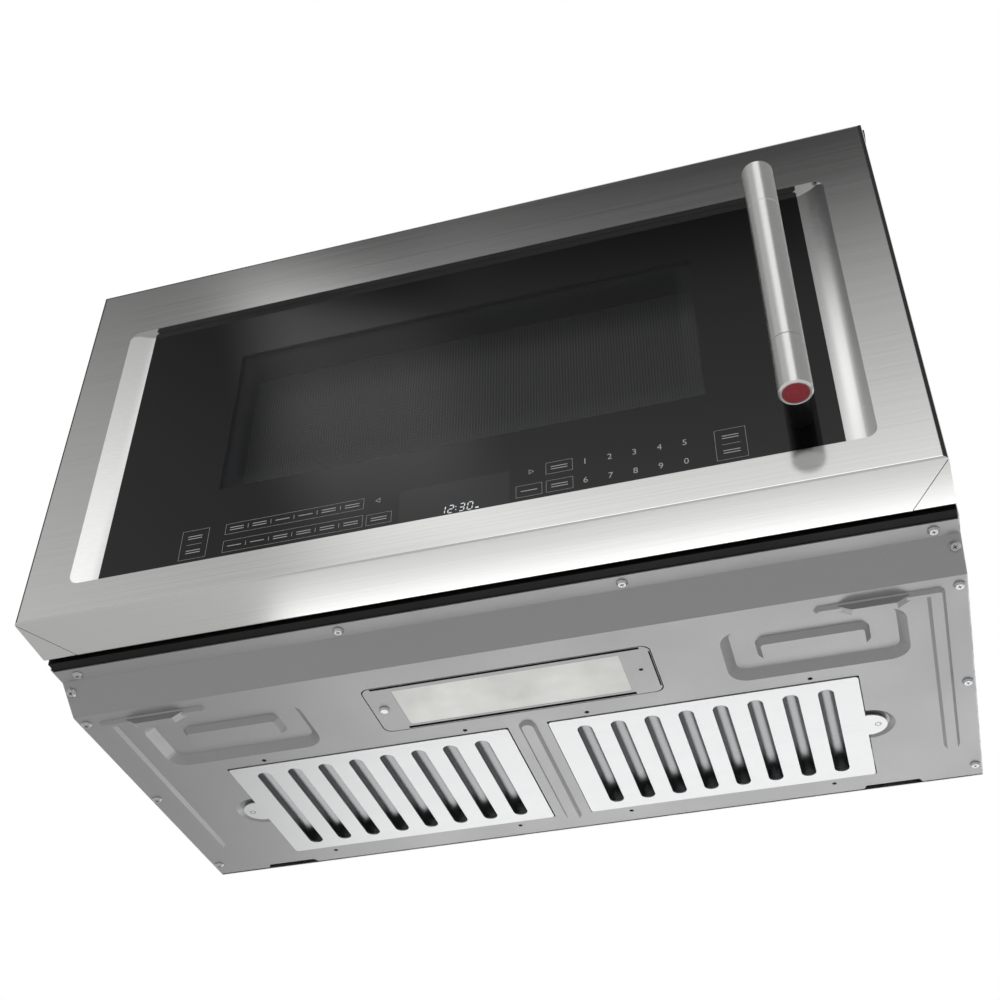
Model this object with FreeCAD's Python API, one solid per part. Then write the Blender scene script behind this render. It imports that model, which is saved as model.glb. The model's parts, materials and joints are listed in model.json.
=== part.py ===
import FreeCAD, Part
import math
import os

# Over-the-range microwave oven, in millimetres.
# Origin: centre of the wall face. +X right, +Y into the wall, +Z up.
# "Rise" is a height above the door's lower fold, "back" a depth behind the door's flat,
# "side" a distance in from the cabinet's side, "run" one back from the foot of the base's chamfer.

V = FreeCAD.Vector
X_AXIS = V(1, 0, 0)
Y_AXIS = V(0, 1, 0)
Z_AXIS = V(0, 0, 1)

# ---------------------------------------------------------------- cabinet
WIDTH = 760.0
HEIGHT = 435.0
DEPTH = 427.0             # wall face to the flat of the door
SHEET = 1.0               # wrap, base and door sheet
LINER = 1.2               # front frame and oven cavity
FIT = 0.2                 # between rigid pieces side by side
RUN = 0.06                # radial clearance of a shaft or pin in its bore
AIR = 0.9                 # round a cover or filter in its opening
HANG = 0.3                # between pieces that move past each other
PAST = 1.0                # how far a cutting tool reaches past what it cuts

# ---------------------------------------------------------------- door
DOOR_RISE = 20.4          # underside of the cabinet to the door's lower fold
DOOR_TOP_ROOM = 9.9       # top of the door to the top of the cabinet
DOOR_SIDE_ROOM = 0.8      # side of the door to the side of the cabinet
DOOR_DEPTH = 59.5
DOOR_DRAFT = 2.95         # each side leans in by this towards the front
DOOR_SIDE_FOLD = 4.5
DOOR_TOP_FOLD = 4.0
DOOR_LOW_FOLD = 1.6
DOOR_BACK_FOLD = 6.0
DOOR_LIP = 12.0           # turned-in lip round the open back
DOOR_GAP = 2.0            # door to front frame
MITRE_RUN = 31.0          # sideways run of the slit in the folded corners
MITRE_SLIT = 0.6
RECESS_SIDE = 47.3
RECESS_RISE = 31.5
RECESS_TOP = 67.3         # recess to the top of the door
RECESS_DEPTH = 6.0
RECESS_RADIUS = 9.5
SCOOP = 23.8              # width of each concave side of the recess
SCOOP_SAG = 0.62          # depth half way across it, of the whole depth
GLASS_THICK = 4.0
GLASS_RADIUS = 3.5
WINDOW_SIDE = 170.2
WINDOW_RISE = 112.8
WINDOW_TOP = 126.7        # window to the top of the door
WINDOW_LAP = 8.0          # screen and carrier past the window's edge
CONTROL_RISE = 34.0       # control board behind the touch keys
CONTROL_HEIGHT = 44.0
CONTROL_SIDE = 135.0
CONTROL_BOARD = 1.6
DISPLAY_WIDTH = 92.0
DISPLAY_X = 2.5
DISPLAY_HEIGHT = 34.0
CARRIER = 3.0             # moulded frame behind the glass
POST = 9.0                # square posts of the carrier
PAN_BACK = 40.0           # front face of the inner pan, behind the door's flat
CHOKE = 20.0              # width of the choke channel
CHOKE_MARGIN = 18.0       # inner pan outside the cavity's opening
SCREEN = 0.8
HINGE_SIDE = 6.5          # pin
HINGE_FORWARD = 12.5      # pin, forward of the door's back
PIN_RADIUS = 2.5
ARM_THICK = 3.0
ARM_RADIUS = 3.6
ARM_RISE = 14.0           # lower arm above the door's lower fold, and upper arm below its top
ARM_FOOT = 1.4            # foot plate on the front frame
LATCH_SIDE = 128.0
LATCH_THICK = 4.0
LATCH_HEIGHT = 14.0
LATCH_REACH = 14.0        # hook behind the front frame's face
LATCH_RISE = 120.0        # lower hook
LATCH_TOP = 114.7         # upper hook below the door's top
LATCH_TRAVEL = 5.0
LATCH_BAR = 8.0

# ---------------------------------------------------------------- handle
HANDLE_SIDE = 100.4
HANDLE_STAND = 39.0       # axis in front of the door's flat
HANDLE_RADIUS = 13.05
HANDLE_RISE = 51.6        # lower end
HANDLE_TOP = 88.3         # upper end below the door's top
HANDLE_BORE = 10.5
HANDLE_SPIGOT = 18.0
FERRULE = 52.4
HANDLE_CHAMFER = 1.2
STANDOFF_RADIUS = 9.15
STANDOFF_INSET = 16.0     # centre from the handle's end
CAP_RADIUS = 11.2
CAP_THICK = 2.4
HANDLE_SCREW = 2.5
HANDLE_SCREW_HEAD = 5.5

# ---------------------------------------------------------------- front and base
WRAP_SETBACK = 6.5        # front edge of the wrap, behind the front frame's face
BASE_SETBACK = 10.5
BASE_STRIP = 17.0         # raised strip along the base's front
BASE_SLOPE = 27.0
STRIP_DROP = 1.0          # strip below the door's lower fold
BASE_BACK = 2.6           # rear edge of the base, in front of the wall face
FLANGE = 13.0
VENT_GAP = 1.5            # vent grille above the door
VENT_BACK = 14.0
VENT_SLOT = 34.0
VENT_RIB = 3.6
VENT_SKIN = 1.6
SHELF_BACK = 205.0        # front frame's top shelf
EMBOSS = 6.5
EMBOSS_LEAN = 7.6
EMBOSS_RADIUS = 17.0
BEAD = 3.0
BEAD_WIDTH = 14.0
BEAD_LEAN = 2.6
ARM_BEAD_WIDTH = 9.0
ARM_BULGE = 7.0           # deeper middle of the front bead
ARM_BULGE_ENDS = (16.0, 24.0)
ARM_BULGE_LEAN = 13.0
BEAD_ARM_SIDE = (118.5, 17.5)
BEAD_ARM_RUN = 16.0
BEAD_END = 55.0           # end of the side bead, from the wall face
CENTRE_BEAD_WIDTH = 15.5
CENTRE_BEAD_OVER = 7.5    # in front of the filters
CENTRE_BEAD_END = 19.0
PLATE_EMBOSS_SIDE = (197.2, 48.3)
PLATE_EMBOSS_RUN = (27.6, 100.0)
BLOCK_SIDE = (170.0, 78.0)
BLOCK_RUN = (49.5, 79.5)
BLOCK_LEAN = 4.2
BLOCK_DROP = 1.5          # its face above the base's
BLOCK_RADIUS = 7.0
DRAIN_RADIUS = 2.1
DRAIN_X = 55.2            # inner drain holes, from the middle
DRAIN_INSET = 38.7        # outer drain holes, in from the filter's outer edge
DRAIN_FRONT = 6.6         # in front of the filter
DRAIN_BACK = 9.3          # behind it
NOTCH_SIDE = (108.5, 52.5)
NOTCH_DEEP = 5.5
NOTCH_LEAN = 4.0
SCREW_HEAD = 4.6
SCREW_TALL = 2.4
SCREW_SHANK = 1.9
SCREW_LONG = 7.0
STRIP_SCREW_X = 120.0     # inner strip screws, from the middle
STRIP_SCREW_SIDE = 19.5
SLOPE_SCREW_SIDE = 5.8
SLOPE_SCREW_RUN = 8.0     # along the slope's depth
EDGE_SCREW_SIDE = 6.5
EDGE_SCREW_RUN = 12.0
EDGE_SCREW_BACK = 21.7    # last side screw, from the wall face
EDGE_SCREW_MID = 1.15     # middle screw in front of the middle of the other two

# ---------------------------------------------------------------- filters
FILTER_SIDE = 94.1
FILTER_INNER_X = 18.5     # inner edge from the middle
FILTER_RUN = 117.5
FILTER_BACK = 29.2        # rear edge from the wall face
FILTER_PROUD = 0.8
FILTER_PLATE = 1.2
FILTER_RIM = 12.0
FILTER_RADIUS = 3.0
SLOT_COUNT = 8
SLOT_MARGIN = 13.7        # plate left over beside the row of slots
SLOT_END = 12.4           # plate left over at the slots' ends
SLOT_WIDTH = 13.5
BAFFLE_RADIUS = 9.5
BAFFLE_SHEET = 0.8
BAFFLE_LIFT = 2.0
TAB_RADIUS = 16.0
TAB_OUT = 1.6             # tab's centre outside the plate's edge
TAB_BACK = 78.5           # tab's centre behind the plate's front edge
DIMPLE_RADIUS = 23.0
DIMPLE_DEEP = 3.2
DIMPLE_LEAN = 4.5

# ---------------------------------------------------------------- lamp
LAMP_X = (-123.0, 126.5)
LAMP_RUN = (27.0, 95.0)
LAMP_RADIUS = 8.0
LAMP_RIM = 5.0
LENS_X = (-97.8, 100.2)
LENS_RUN = (35.0, 88.5)
LENS_THICK = 2.4
LENS_LEDGE = 3.0
LAMP_SCREW_X = -112.2
LAMP_DIMPLE_X = 114.0
LAMP_DIMPLE = 1.8
LAMP_MID_RUN = 59.5
LAMP_HOUSING_HEIGHT = 20.0
LED_COUNT = 6

# ---------------------------------------------------------------- oven cavity
CAVITY_LEFT_SIDE = 60.5
CAVITY_RIGHT_SIDE = 159.5
CAVITY_RISE = 75.0
CAVITY_TOP_ROOM = 89.6    # to the cabinet's top
CAVITY_BACK_ROOM = 50.3   # to the wall face
CAVITY_RADIUS = 3.0
CAVITY_FLANGE = 12.0
TRAY_ROOM = 12.0          # tray's edge to the cavity's walls
TRAY_HEIGHT = 16.0
GLASS_TRAY = 5.0
ROLLER_INSET = 45.0       # track inside the tray's edge
ROLLER_RADIUS = 7.0
ROLLER_LONG = 6.0
AXLE_RADIUS = 1.8
SPINDLE_RADIUS = 3.0
SPINDLE_WELL = 7.0

# ---------------------------------------------------------------- right compartment
GUIDE_X = 24.0            # waveguide, sideways
GUIDE_BACK = 47.3         # behind the front frame
GUIDE_DEEP = 120.0
GUIDE_RISE = 140.0
GUIDE_TOP = 25.0          # below the cavity's ceiling
GUIDE_RIM = 8.0
MAGNETRON_X = 76.0
MAGNETRON_Y = 92.0
MAGNETRON_HEIGHT = 84.0
MAGNETRON_FINS = 5
ANODE_RADIUS = 19.0
ANTENNA_RADIUS = 9.0
FAN_SIDE = 78.0
FAN_RISE = 97.0
FAN_RADIUS = 52.0
FAN_PLATE_Y = -97.0
FAN_PLATE_RISE = 200.0
FAN_THROAT = 16.0
FAN_MOTOR_BACK = 34.0     # behind the fan's wall
FAN_MOTOR_RADIUS = 22.0

# ---------------------------------------------------------------- vent blower and convection
OUTLET_WIDTH = 254.0      # exhaust opening in the top, and the reach of both scrolls
OUTLET_DEPTH = 83.0
OUTLET_BACK = 12.0        # from the wall face
SCROLL_WIDTH = 85.0
SCROLL_RADIUS = 35.0
CHIMNEY = 61.0            # front to back
WHEEL_RADIUS = 29.0
WHEEL_INNER = 22.0
WHEEL_BLADES = 12
BLOWER_Y = -62.0
BLOWER_DROP = 47.0        # shaft below the cabinet's top
SHAFT_RADIUS = 4.0
FAN_SHAFT_RADIUS = 3.0
MOTOR_RADIUS = 31.0
CONVECTION_INSET = 21.0   # pan inside the cavity's height
CONVECTION_DEPTH = 22.0
HEATER_INSET = 16.0       # ports and ring inside the pan
HEATER_TUBE = 3.6
CONVECTION_FAN_INSET = 34.0
CONVECTION_MOTOR = 22.0   # length
CONVECTION_MOTOR_RADIUS = 28.0

# ---------------------------------------------------------------- small inner sizes
BOLT_RADIUS = 4.0         # holes in the top for two 1/4-20 bolts
BOLT_X = (-228.6, 228.6)
BOLT_Y = -304.0
GROMMET_SIDE = 50.0
GROMMET_Y = -60.0
GROMMET_RADIUS = 11.0
GROMMET_WALL = 4.0
GROMMET_LONG = 9.0
HOOK_WIDTH = 40.0         # slots in the rear panel for the wall plate's tabs
HOOK_HEIGHT = 7.0
HOOK_RISE = 6.0
REAR_VENT_ROWS = 7
REAR_VENT_COLUMNS = 3
REAR_VENT_PITCH = 24.0
FILTER_PAD_HALF = 180.0
FILTER_PAD_BACK = (92.0, 199.0)
HEAT_PORTS = 12
HEAT_PORT_RADIUS = 5.0
INTAKE_RADIUS = 26.0
PORT_WIDTH = 84.0
PORT_HEIGHT = 44.0
PORT_RISE = 12.0          # port above the waveguide's lower end
MICA = 0.5
TRANSFORMER_SIDE = 126.0
TRANSFORMER_BACK = 64.3   # behind the front frame
CORE_X = 96.0             # laminated core
CORE_Y = 66.0
CORE_Z = 78.0
CORE_LIMB = 16.0
CORE_YOKE = 14.0
WINDING_OUT = 12.0        # windings before and behind the core
CAPACITOR_SIDE = 118.0
CAPACITOR_Y = -172.0
CAN_X = 54.0              # capacitor can
CAN_Y = 34.0
CAN_Z = 92.0
COUPLER_TALL = 9.0
TRAY_MOTOR_RADIUS = 25.0
TRAY_MOTOR_TALL = 18.0
TRAY_MOTOR_EAR = 36.0
BRACKET_SHEET = 1.5
BRACKET_DEEP = 40.0
SWITCH_X = 10.0
SWITCH_Y = 16.0
SWITCH_Z = 20.0
BOARD_SIDE = (96.0, 14.0)
BOARD_RISE = 160.0
BOARD_TOP = 84.7          # below the door's top
BOARD_POST = 12.0
BOARD_THICK = 1.6
RELAYS = 4
PANE = 2.0
SPRING_LONG = 24.0

# ---------------------------------------------------------------- planes worked out from the sizes
LEFT = -WIDTH / 2
RIGHT = WIDTH / 2
BOTTOM = -HEIGHT / 2
TOP = HEIGHT / 2
FRONT = -DEPTH
DOOR_HALF = RIGHT - DOOR_SIDE_ROOM        # at the door's back
DOOR_LOW = BOTTOM + DOOR_RISE
DOOR_HIGH = TOP - DOOR_TOP_ROOM
DOOR_BACK = FRONT + DOOR_DEPTH
FRAME_FACE = DOOR_BACK + DOOR_GAP
FRAME_BACK = FRAME_FACE + LINER
WRAP_FRONT = FRAME_FACE + WRAP_SETBACK
BASE_FRONT = FRAME_FACE + BASE_SETBACK
SLOPE_START = BASE_FRONT + BASE_STRIP
SLOPE_END = SLOPE_START + BASE_SLOPE
STRIP_Z = DOOR_LOW - STRIP_DROP
FLOOR = BOTTOM + SHEET                    # upper face of the base
DUCT_TOP = STRIP_Z + 2 * SHEET + LINER    # floor of the right compartment, over the filters' air duct
ROOF = TOP - SHEET                        # lower face of the top sheet
VENT_LOW = DOOR_HIGH + VENT_GAP
SHELF_TOP = DOOR_HIGH + VENT_GAP / 3
GLASS_FRONT = FRONT + RECESS_DEPTH
GLASS_BACK = GLASS_FRONT + GLASS_THICK
RECESS_HALF = RIGHT - RECESS_SIDE
RECESS_LOW = DOOR_LOW + RECESS_RISE
RECESS_HIGH = DOOR_HIGH - RECESS_TOP
GLASS_HALF = RECESS_HALF - SCOOP
WINDOW_HALF = RIGHT - WINDOW_SIDE
WINDOW_LOW = DOOR_LOW + WINDOW_RISE
WINDOW_HIGH = DOOR_HIGH - WINDOW_TOP
CONTROL_HALF = RIGHT - CONTROL_SIDE
CAVITY_LEFT = LEFT + CAVITY_LEFT_SIDE
CAVITY_RIGHT = RIGHT - CAVITY_RIGHT_SIDE
CAVITY_LOW = DOOR_LOW + CAVITY_RISE
CAVITY_HIGH = TOP - CAVITY_TOP_ROOM
CAVITY_BACK = -CAVITY_BACK_ROOM
CAVITY_X = (CAVITY_LEFT + CAVITY_RIGHT) / 2
CAVITY_MID_Y = (FRAME_BACK + CAVITY_BACK) / 2
CAVITY_MID_Z = (CAVITY_LOW + CAVITY_HIGH) / 2
SIDE_WALL = CAVITY_RIGHT + LINER          # outer face of the cavity's right wall
REAR_WALL = CAVITY_BACK + LINER
CEILING = CAVITY_HIGH + LINER
TRAY_RADIUS = CAVITY_MID_Y - FRAME_BACK - TRAY_ROOM
ROLLER_TRACK = TRAY_RADIUS - ROLLER_INSET
CONVECTION_RADIUS = CAVITY_HIGH - CAVITY_MID_Z - CONVECTION_INSET
HEATER_RADIUS = CONVECTION_RADIUS - HEATER_INSET
CONVECTION_FAN = CONVECTION_RADIUS - CONVECTION_FAN_INSET
PAN_LEFT = CAVITY_LEFT - CHOKE_MARGIN
PAN_RIGHT = CAVITY_RIGHT + CHOKE_MARGIN
PAN_LOW = CAVITY_LOW - CHOKE_MARGIN
PAN_HIGH = CAVITY_HIGH + CHOKE_MARGIN
PAN_FRONT = FRONT + PAN_BACK
PANEL_BACK = DOOR_BACK - SHEET            # rear face of the inner panel, on the door's lip
PANEL_FRONT = PANEL_BACK - LINER
HINGE_X = LEFT + HINGE_SIDE
HINGE_Y = DOOR_BACK - HINGE_FORWARD
LATCH_X = RIGHT - LATCH_SIDE
LATCH_ZS = (DOOR_LOW + LATCH_RISE, DOOR_HIGH - LATCH_TOP)
BRACKET_X = LATCH_X + LATCH_THICK / 2 + 8
HANDLE_X = RIGHT - HANDLE_SIDE
HANDLE_Y = FRONT - HANDLE_STAND
HANDLE_LOW = DOOR_LOW + HANDLE_RISE
HANDLE_HIGH = DOOR_HIGH - HANDLE_TOP
STANDOFF_ZS = (HANDLE_LOW + STANDOFF_INSET, HANDLE_HIGH - STANDOFF_INSET)
FILTER_LOW = BOTTOM - FILTER_PROUD
FILTER_OUTER_X = RIGHT - FILTER_SIDE
FILTER_FRONT_Y = SLOPE_END + FILTER_RUN
FILTER_BACK_Y = -FILTER_BACK
TAB_Y = FILTER_FRONT_Y + TAB_BACK
LAMP_Y = (SLOPE_END + LAMP_RUN[0], SLOPE_END + LAMP_RUN[1])
LENS_Y = (SLOPE_END + LENS_RUN[0], SLOPE_END + LENS_RUN[1])
LAMP_MID_Y = SLOPE_END + LAMP_MID_RUN
GUIDE_Y = (FRAME_BACK + GUIDE_BACK, FRAME_BACK + GUIDE_BACK + GUIDE_DEEP)
GUIDE_LOW = DOOR_LOW + GUIDE_RISE
GUIDE_HIGH = CAVITY_HIGH - GUIDE_TOP
PORT_Z = GUIDE_LOW + PORT_RISE + PORT_HEIGHT / 2
FAN_X = RIGHT - FAN_SIDE
FAN_Z = DOOR_LOW + FAN_RISE
BLOWER_Z = TOP - BLOWER_DROP
OUTLET_Y = -OUTLET_BACK - OUTLET_DEPTH
GROMMET_X = RIGHT - GROMMET_SIDE


# ---------------------------------------------------------------- building blocks
def box(x0, x1, y0, y1, z0, z1):
    return Part.makeBox(x1 - x0, y1 - y0, z1 - z0, V(x0, y0, z0))


def rod(radius, start, end):
    """A round bar from one point to another."""
    run = end - start
    return Part.makeCylinder(radius, run.Length, start, run)


def joined(shapes):
    """One solid from shapes that meet."""
    first, *rest = shapes
    if not rest:
        return first
    return first.multiFuse(rest).removeSplitter()


def mirrored(shape):
    """The same shape on the other side of the cabinet's middle."""
    return shape.mirror(V(0, 0, 0), X_AXIS)


def edges_along(shape, axis):
    """Straight edges that run parallel to an axis."""
    found = []
    for edge in shape.Edges:
        run = edge.lastVertex().Point - edge.firstVertex().Point
        if run.Length > 0.01 and run.cross(axis).Length < 1e-4 * run.Length:
            found.append(edge)
    return found


def rounded_box(x0, x1, y0, y1, z0, z1, radius, axis):
    """A box whose four edges along one axis are rounded."""
    block = box(x0, x1, y0, y1, z0, z1)
    return block.makeFillet(radius, edges_along(block, axis))


def bevelled_box(x0, x1, y0, y1, z0, z1, bevel, axis):
    """A box whose four edges along one axis are cut off flat."""
    block = box(x0, x1, y0, y1, z0, z1)
    return block.makeChamfer(bevel, edges_along(block, axis))


def wall_bevel(inner_bevel, wall):
    """Bevel of the outer box that leaves the same wall at the corners as at the sides."""
    return inner_bevel + wall * (2 - math.sqrt(2))


def prism(points, run):
    """A flat outline swept straight along a vector."""
    return Part.Face(Part.makePolygon(points + points[:1])).extrude(run)


def rounded_outline(x0, x1, y0, y1, z, radius, flats=3):
    """A rectangle at a height, each corner turned in short flats as a press tool leaves it."""
    middles = [(x1 - radius, y1 - radius), (x0 + radius, y1 - radius),
               (x0 + radius, y0 + radius), (x1 - radius, y0 + radius)]
    points = []
    for corner, (x, y) in enumerate(middles):
        for step in range(flats + 1):
            angle = math.radians(90 * (corner + step / flats))
            points.append(V(x + radius * math.cos(angle), y + radius * math.sin(angle), z))
    return Part.makePolygon(points + points[:1])


def pressing(x0, x1, y0, y1, z0, z1, radius, lean, flats=3):
    """The solid filled by a pressed form whose walls lean in from z0 to z1."""
    small = max(radius - lean, 0.6)
    lower = rounded_outline(x0, x1, y0, y1, z0, radius, flats)
    upper = rounded_outline(x0 + lean, x1 - lean, y0 + lean, y1 - lean, z1, small, flats)
    return Part.makeLoft([lower, upper], True, True)


def turned(points, base, axis):
    """A solid of revolution from (radius, height) points, its foot at base along axis."""
    outline = [V(r, 0, h) for r, h in points]
    face = Part.Face(Part.makePolygon(outline + outline[:1]))
    body = face.revolve(V(0, 0, 0), Z_AXIS, 360)
    body.Placement = FreeCAD.Placement(base, FreeCAD.Rotation(Z_AXIS, axis))
    return body


def slot_prism(x, y0, y1, width, z0, z1):
    """A slot with round ends, its length along Y."""
    r = width / 2
    return rounded_box(x - r, x + r, y0, y1, z0, z1, r - 0.01, Z_AXIS)


def save(name, *solids):
    """Writes one node and gives its number of facets."""
    flat = []
    for solid in solids:
        flat.extend(solid.Solids)
    shape = flat[0] if len(flat) == 1 else Part.makeCompound(flat)
    shape.exportStep(f"parts/{name}.step")
    facets = len(shape.tessellate(0.5)[1])
    sound = all(solid.isValid() and solid.Volume > 0 for solid in flat)
    print(f"{name:24s} {len(flat)} solids {facets:5d} facets {'ok' if sound else 'BAD'}")
    return facets


# ---------------------------------------------------------------- cabinet sheet metal
def side_profile(front):
    """Outline of the cabinet seen from the side, its underside chamfered at the front."""
    return [
        V(0, front, STRIP_Z),
        V(0, SLOPE_START, STRIP_Z),
        V(0, SLOPE_END, BOTTOM),
        V(0, -SHEET, BOTTOM),
        V(0, -SHEET, TOP),
        V(0, front, TOP),
    ]


def outer_wrap():
    """Sides and top from one sheet, with flanges that lie on the base."""
    solid = prism(side_profile(WRAP_FRONT), V(WIDTH, 0, 0))
    solid.translate(V(LEFT, 0, 0))
    inside = box(LEFT + SHEET, RIGHT - SHEET, WRAP_FRONT - PAST, PAST, BOTTOM - PAST, ROOF)
    flange = box(RIGHT - FLANGE, RIGHT - SHEET / 2, SLOPE_END + SHEET, -SHEET, FLOOR, FLOOR + SHEET)
    low, high = ROOF - PAST, TOP + PAST
    half = OUTLET_WIDTH / 2
    outlet = rounded_box(-half, half, OUTLET_Y, -OUTLET_BACK, low, high, 3.0, Z_AXIS)
    bolts = [rod(BOLT_RADIUS, V(x, BOLT_Y, low), V(x, BOLT_Y, high)) for x in BOLT_X]
    cord = rod(GROMMET_RADIUS, V(GROMMET_X, GROMMET_Y, low), V(GROMMET_X, GROMMET_Y, high))
    wrap = joined([solid.cut(inside), flange, mirrored(flange)])
    return wrap.cut([outlet, cord] + bolts + base_screw_holes())


def screw_places():
    """Foot and direction of every screw in the base: strip, chamfer, side edges."""
    places = []
    fall = DOOR_RISE - STRIP_DROP
    tilt = V(0, fall, BASE_SLOPE).normalize()
    slope_z = STRIP_Z - fall * SLOPE_SCREW_RUN / BASE_SLOPE
    first = SLOPE_END + EDGE_SCREW_RUN
    last = -EDGE_SCREW_BACK
    middle = (first + last) / 2 - EDGE_SCREW_MID
    for side in (-1, 1):
        for x in (STRIP_SCREW_X, RIGHT - STRIP_SCREW_SIDE):
            places.append((V(side * x, SLOPE_START - BASE_STRIP / 2, STRIP_Z), Z_AXIS))
        slope_x = side * (RIGHT - SLOPE_SCREW_SIDE)
        places.append((V(slope_x, SLOPE_START + SLOPE_SCREW_RUN, slope_z), tilt))
        for y in (first, middle, last):
            places.append((V(side * (RIGHT - EDGE_SCREW_SIDE), y, BOTTOM), Z_AXIS))
    return places


def base_screw_holes():
    holes = []
    for foot, up in screw_places():
        holes.append(rod(SCREW_SHANK + RUN, foot - up * 3, foot + up * (SCREW_LONG + PAST)))
    return holes


def pan_head_screw(foot, up, length):
    """A screw whose domed head hangs below the sheet."""
    outline = [(0, -SCREW_TALL), (SCREW_HEAD * 0.7, -SCREW_TALL), (SCREW_HEAD, -SCREW_TALL * 0.3),
               (SCREW_HEAD, 0), (SCREW_SHANK, 0), (SCREW_SHANK, length), (0, length)]
    return turned(outline, foot, up)


def base_screws():
    return [pan_head_screw(foot, up, SCREW_LONG) for foot, up in screw_places()]


def bead(x0, x1, y0, y1):
    """Outer form and hollow of a straight bead pressed down into the base."""
    r = min(x1 - x0, y1 - y0) / 2 - 0.1
    t = SHEET
    skin = pressing(x0, x1, y0, y1, BOTTOM, BOTTOM - BEAD, r, BEAD_LEAN)
    hollow = pressing(x0 + t, x1 - t, y0 + t, y1 - t, FLOOR, FLOOR - BEAD, r - t, BEAD_LEAN)
    return skin, hollow


def arm_bulge(x0, x1, y0, y1):
    """Outer form and hollow of the front bead's deeper middle, its ends running out to nothing."""
    near, far = ARM_BULGE_ENDS
    low = BOTTOM - ARM_BULGE
    t = SHEET
    outline = [(x0 + near, BOTTOM), (x1 - far, BOTTOM),
               (x1 - far - ARM_BULGE_LEAN, low), (x0 + near + ARM_BULGE_LEAN, low)]
    skin = prism([V(x, y0, z) for x, z in outline], V(0, y1 - y0, 0))
    hollow = prism([V(x, y0 + t, z + t) for x, z in outline], V(0, y1 - y0 - 2 * t, 0))
    return skin, hollow


def base_beads():
    """One L-shaped bead each side and a straight one in the middle."""
    half = ARM_BEAD_WIDTH / 2
    x0, x1 = [RIGHT - side for side in BEAD_ARM_SIDE]
    y = SLOPE_END + BEAD_ARM_RUN
    arms = [bead(x0, x1, y - half, y + half), arm_bulge(x0, x1, y - half + SHEET, y + half),
            bead(x1 - BEAD_WIDTH, x1, y - half, -BEAD_END)]
    middle_half = CENTRE_BEAD_WIDTH / 2
    middle = bead(-middle_half, middle_half, FILTER_FRONT_Y - CENTRE_BEAD_OVER, -CENTRE_BEAD_END)
    skins = [skin for skin, _ in arms]
    hollows = [hollow for _, hollow in arms]
    skins = skins + [mirrored(s) for s in skins] + [middle[0]]
    hollows = hollows + [mirrored(h) for h in hollows] + [middle[1]]
    return skins, hollows


def plate_emboss():
    """Square pressing beside the lamp: pushed up all round, its middle left lower."""
    x0, x1 = [RIGHT - side for side in PLATE_EMBOSS_SIDE]
    y0, y1 = [SLOPE_END + run for run in PLATE_EMBOSS_RUN]
    t = SHEET
    r = EMBOSS_RADIUS
    skin = pressing(x0 - t, x1 + t, y0 - t, y1 + t, BOTTOM, BOTTOM + EMBOSS + t, r + t, EMBOSS_LEAN, 6)
    hollow = pressing(x0, x1, y0, y1, BOTTOM, BOTTOM + EMBOSS, r, EMBOSS_LEAN, 6)
    bx0, bx1 = [RIGHT - side for side in BLOCK_SIDE]
    by0, by1 = [SLOPE_END + run for run in BLOCK_RUN]
    top = BOTTOM + EMBOSS
    low = BOTTOM + BLOCK_DROP
    block = pressing(bx0, bx1, by0, by1, top, low, BLOCK_RADIUS, BLOCK_LEAN, 4)
    inside = pressing(bx0 + t, bx1 - t, by0 + t, by1 - t, top + t, low + t, BLOCK_RADIUS - t, BLOCK_LEAN, 4)
    return skin, hollow.cut(block), inside


def finger_dimple(grow, low, high):
    """Round dimple beside the filter's pull tab."""
    r = DIMPLE_RADIUS + grow
    foot = V(FILTER_OUTER_X + TAB_OUT, TAB_Y, low)
    return turned([(0, 0), (r, 0), (r - DIMPLE_LEAN, high - low), (0, high - low)], foot, Z_AXIS)


def filter_opening(low, high):
    return box(FILTER_INNER_X - AIR, FILTER_OUTER_X + AIR,
               FILTER_FRONT_Y - AIR, FILTER_BACK_Y + AIR, low, high)


def lamp_outline(grow, low, high):
    """The lamp cover's outline, grown by a distance."""
    return rounded_box(LAMP_X[0] - grow, LAMP_X[1] + grow, LAMP_Y[0] - grow, LAMP_Y[1] + grow,
                       low, high, LAMP_RADIUS, Z_AXIS)


def rear_notch(low, high):
    """Gap in the base's rear edge that takes a tab of the wall plate."""
    x0, x1 = [RIGHT - side for side in NOTCH_SIDE]
    front = -BASE_BACK - NOTCH_DEEP
    outline = [V(x0, 0, low), V(x0 + NOTCH_LEAN, front, low), V(x1 - NOTCH_LEAN, front, low), V(x1, 0, low)]
    return prism(outline, V(0, 0, high - low))


def drain_holes(low, high):
    holes = []
    for x in (DRAIN_X, FILTER_OUTER_X - DRAIN_INSET):
        for y in (FILTER_FRONT_Y - DRAIN_FRONT, FILTER_BACK_Y + DRAIN_BACK):
            holes.append(rod(DRAIN_RADIUS, V(x, y, low), V(x, y, high)))
    return holes


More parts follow.
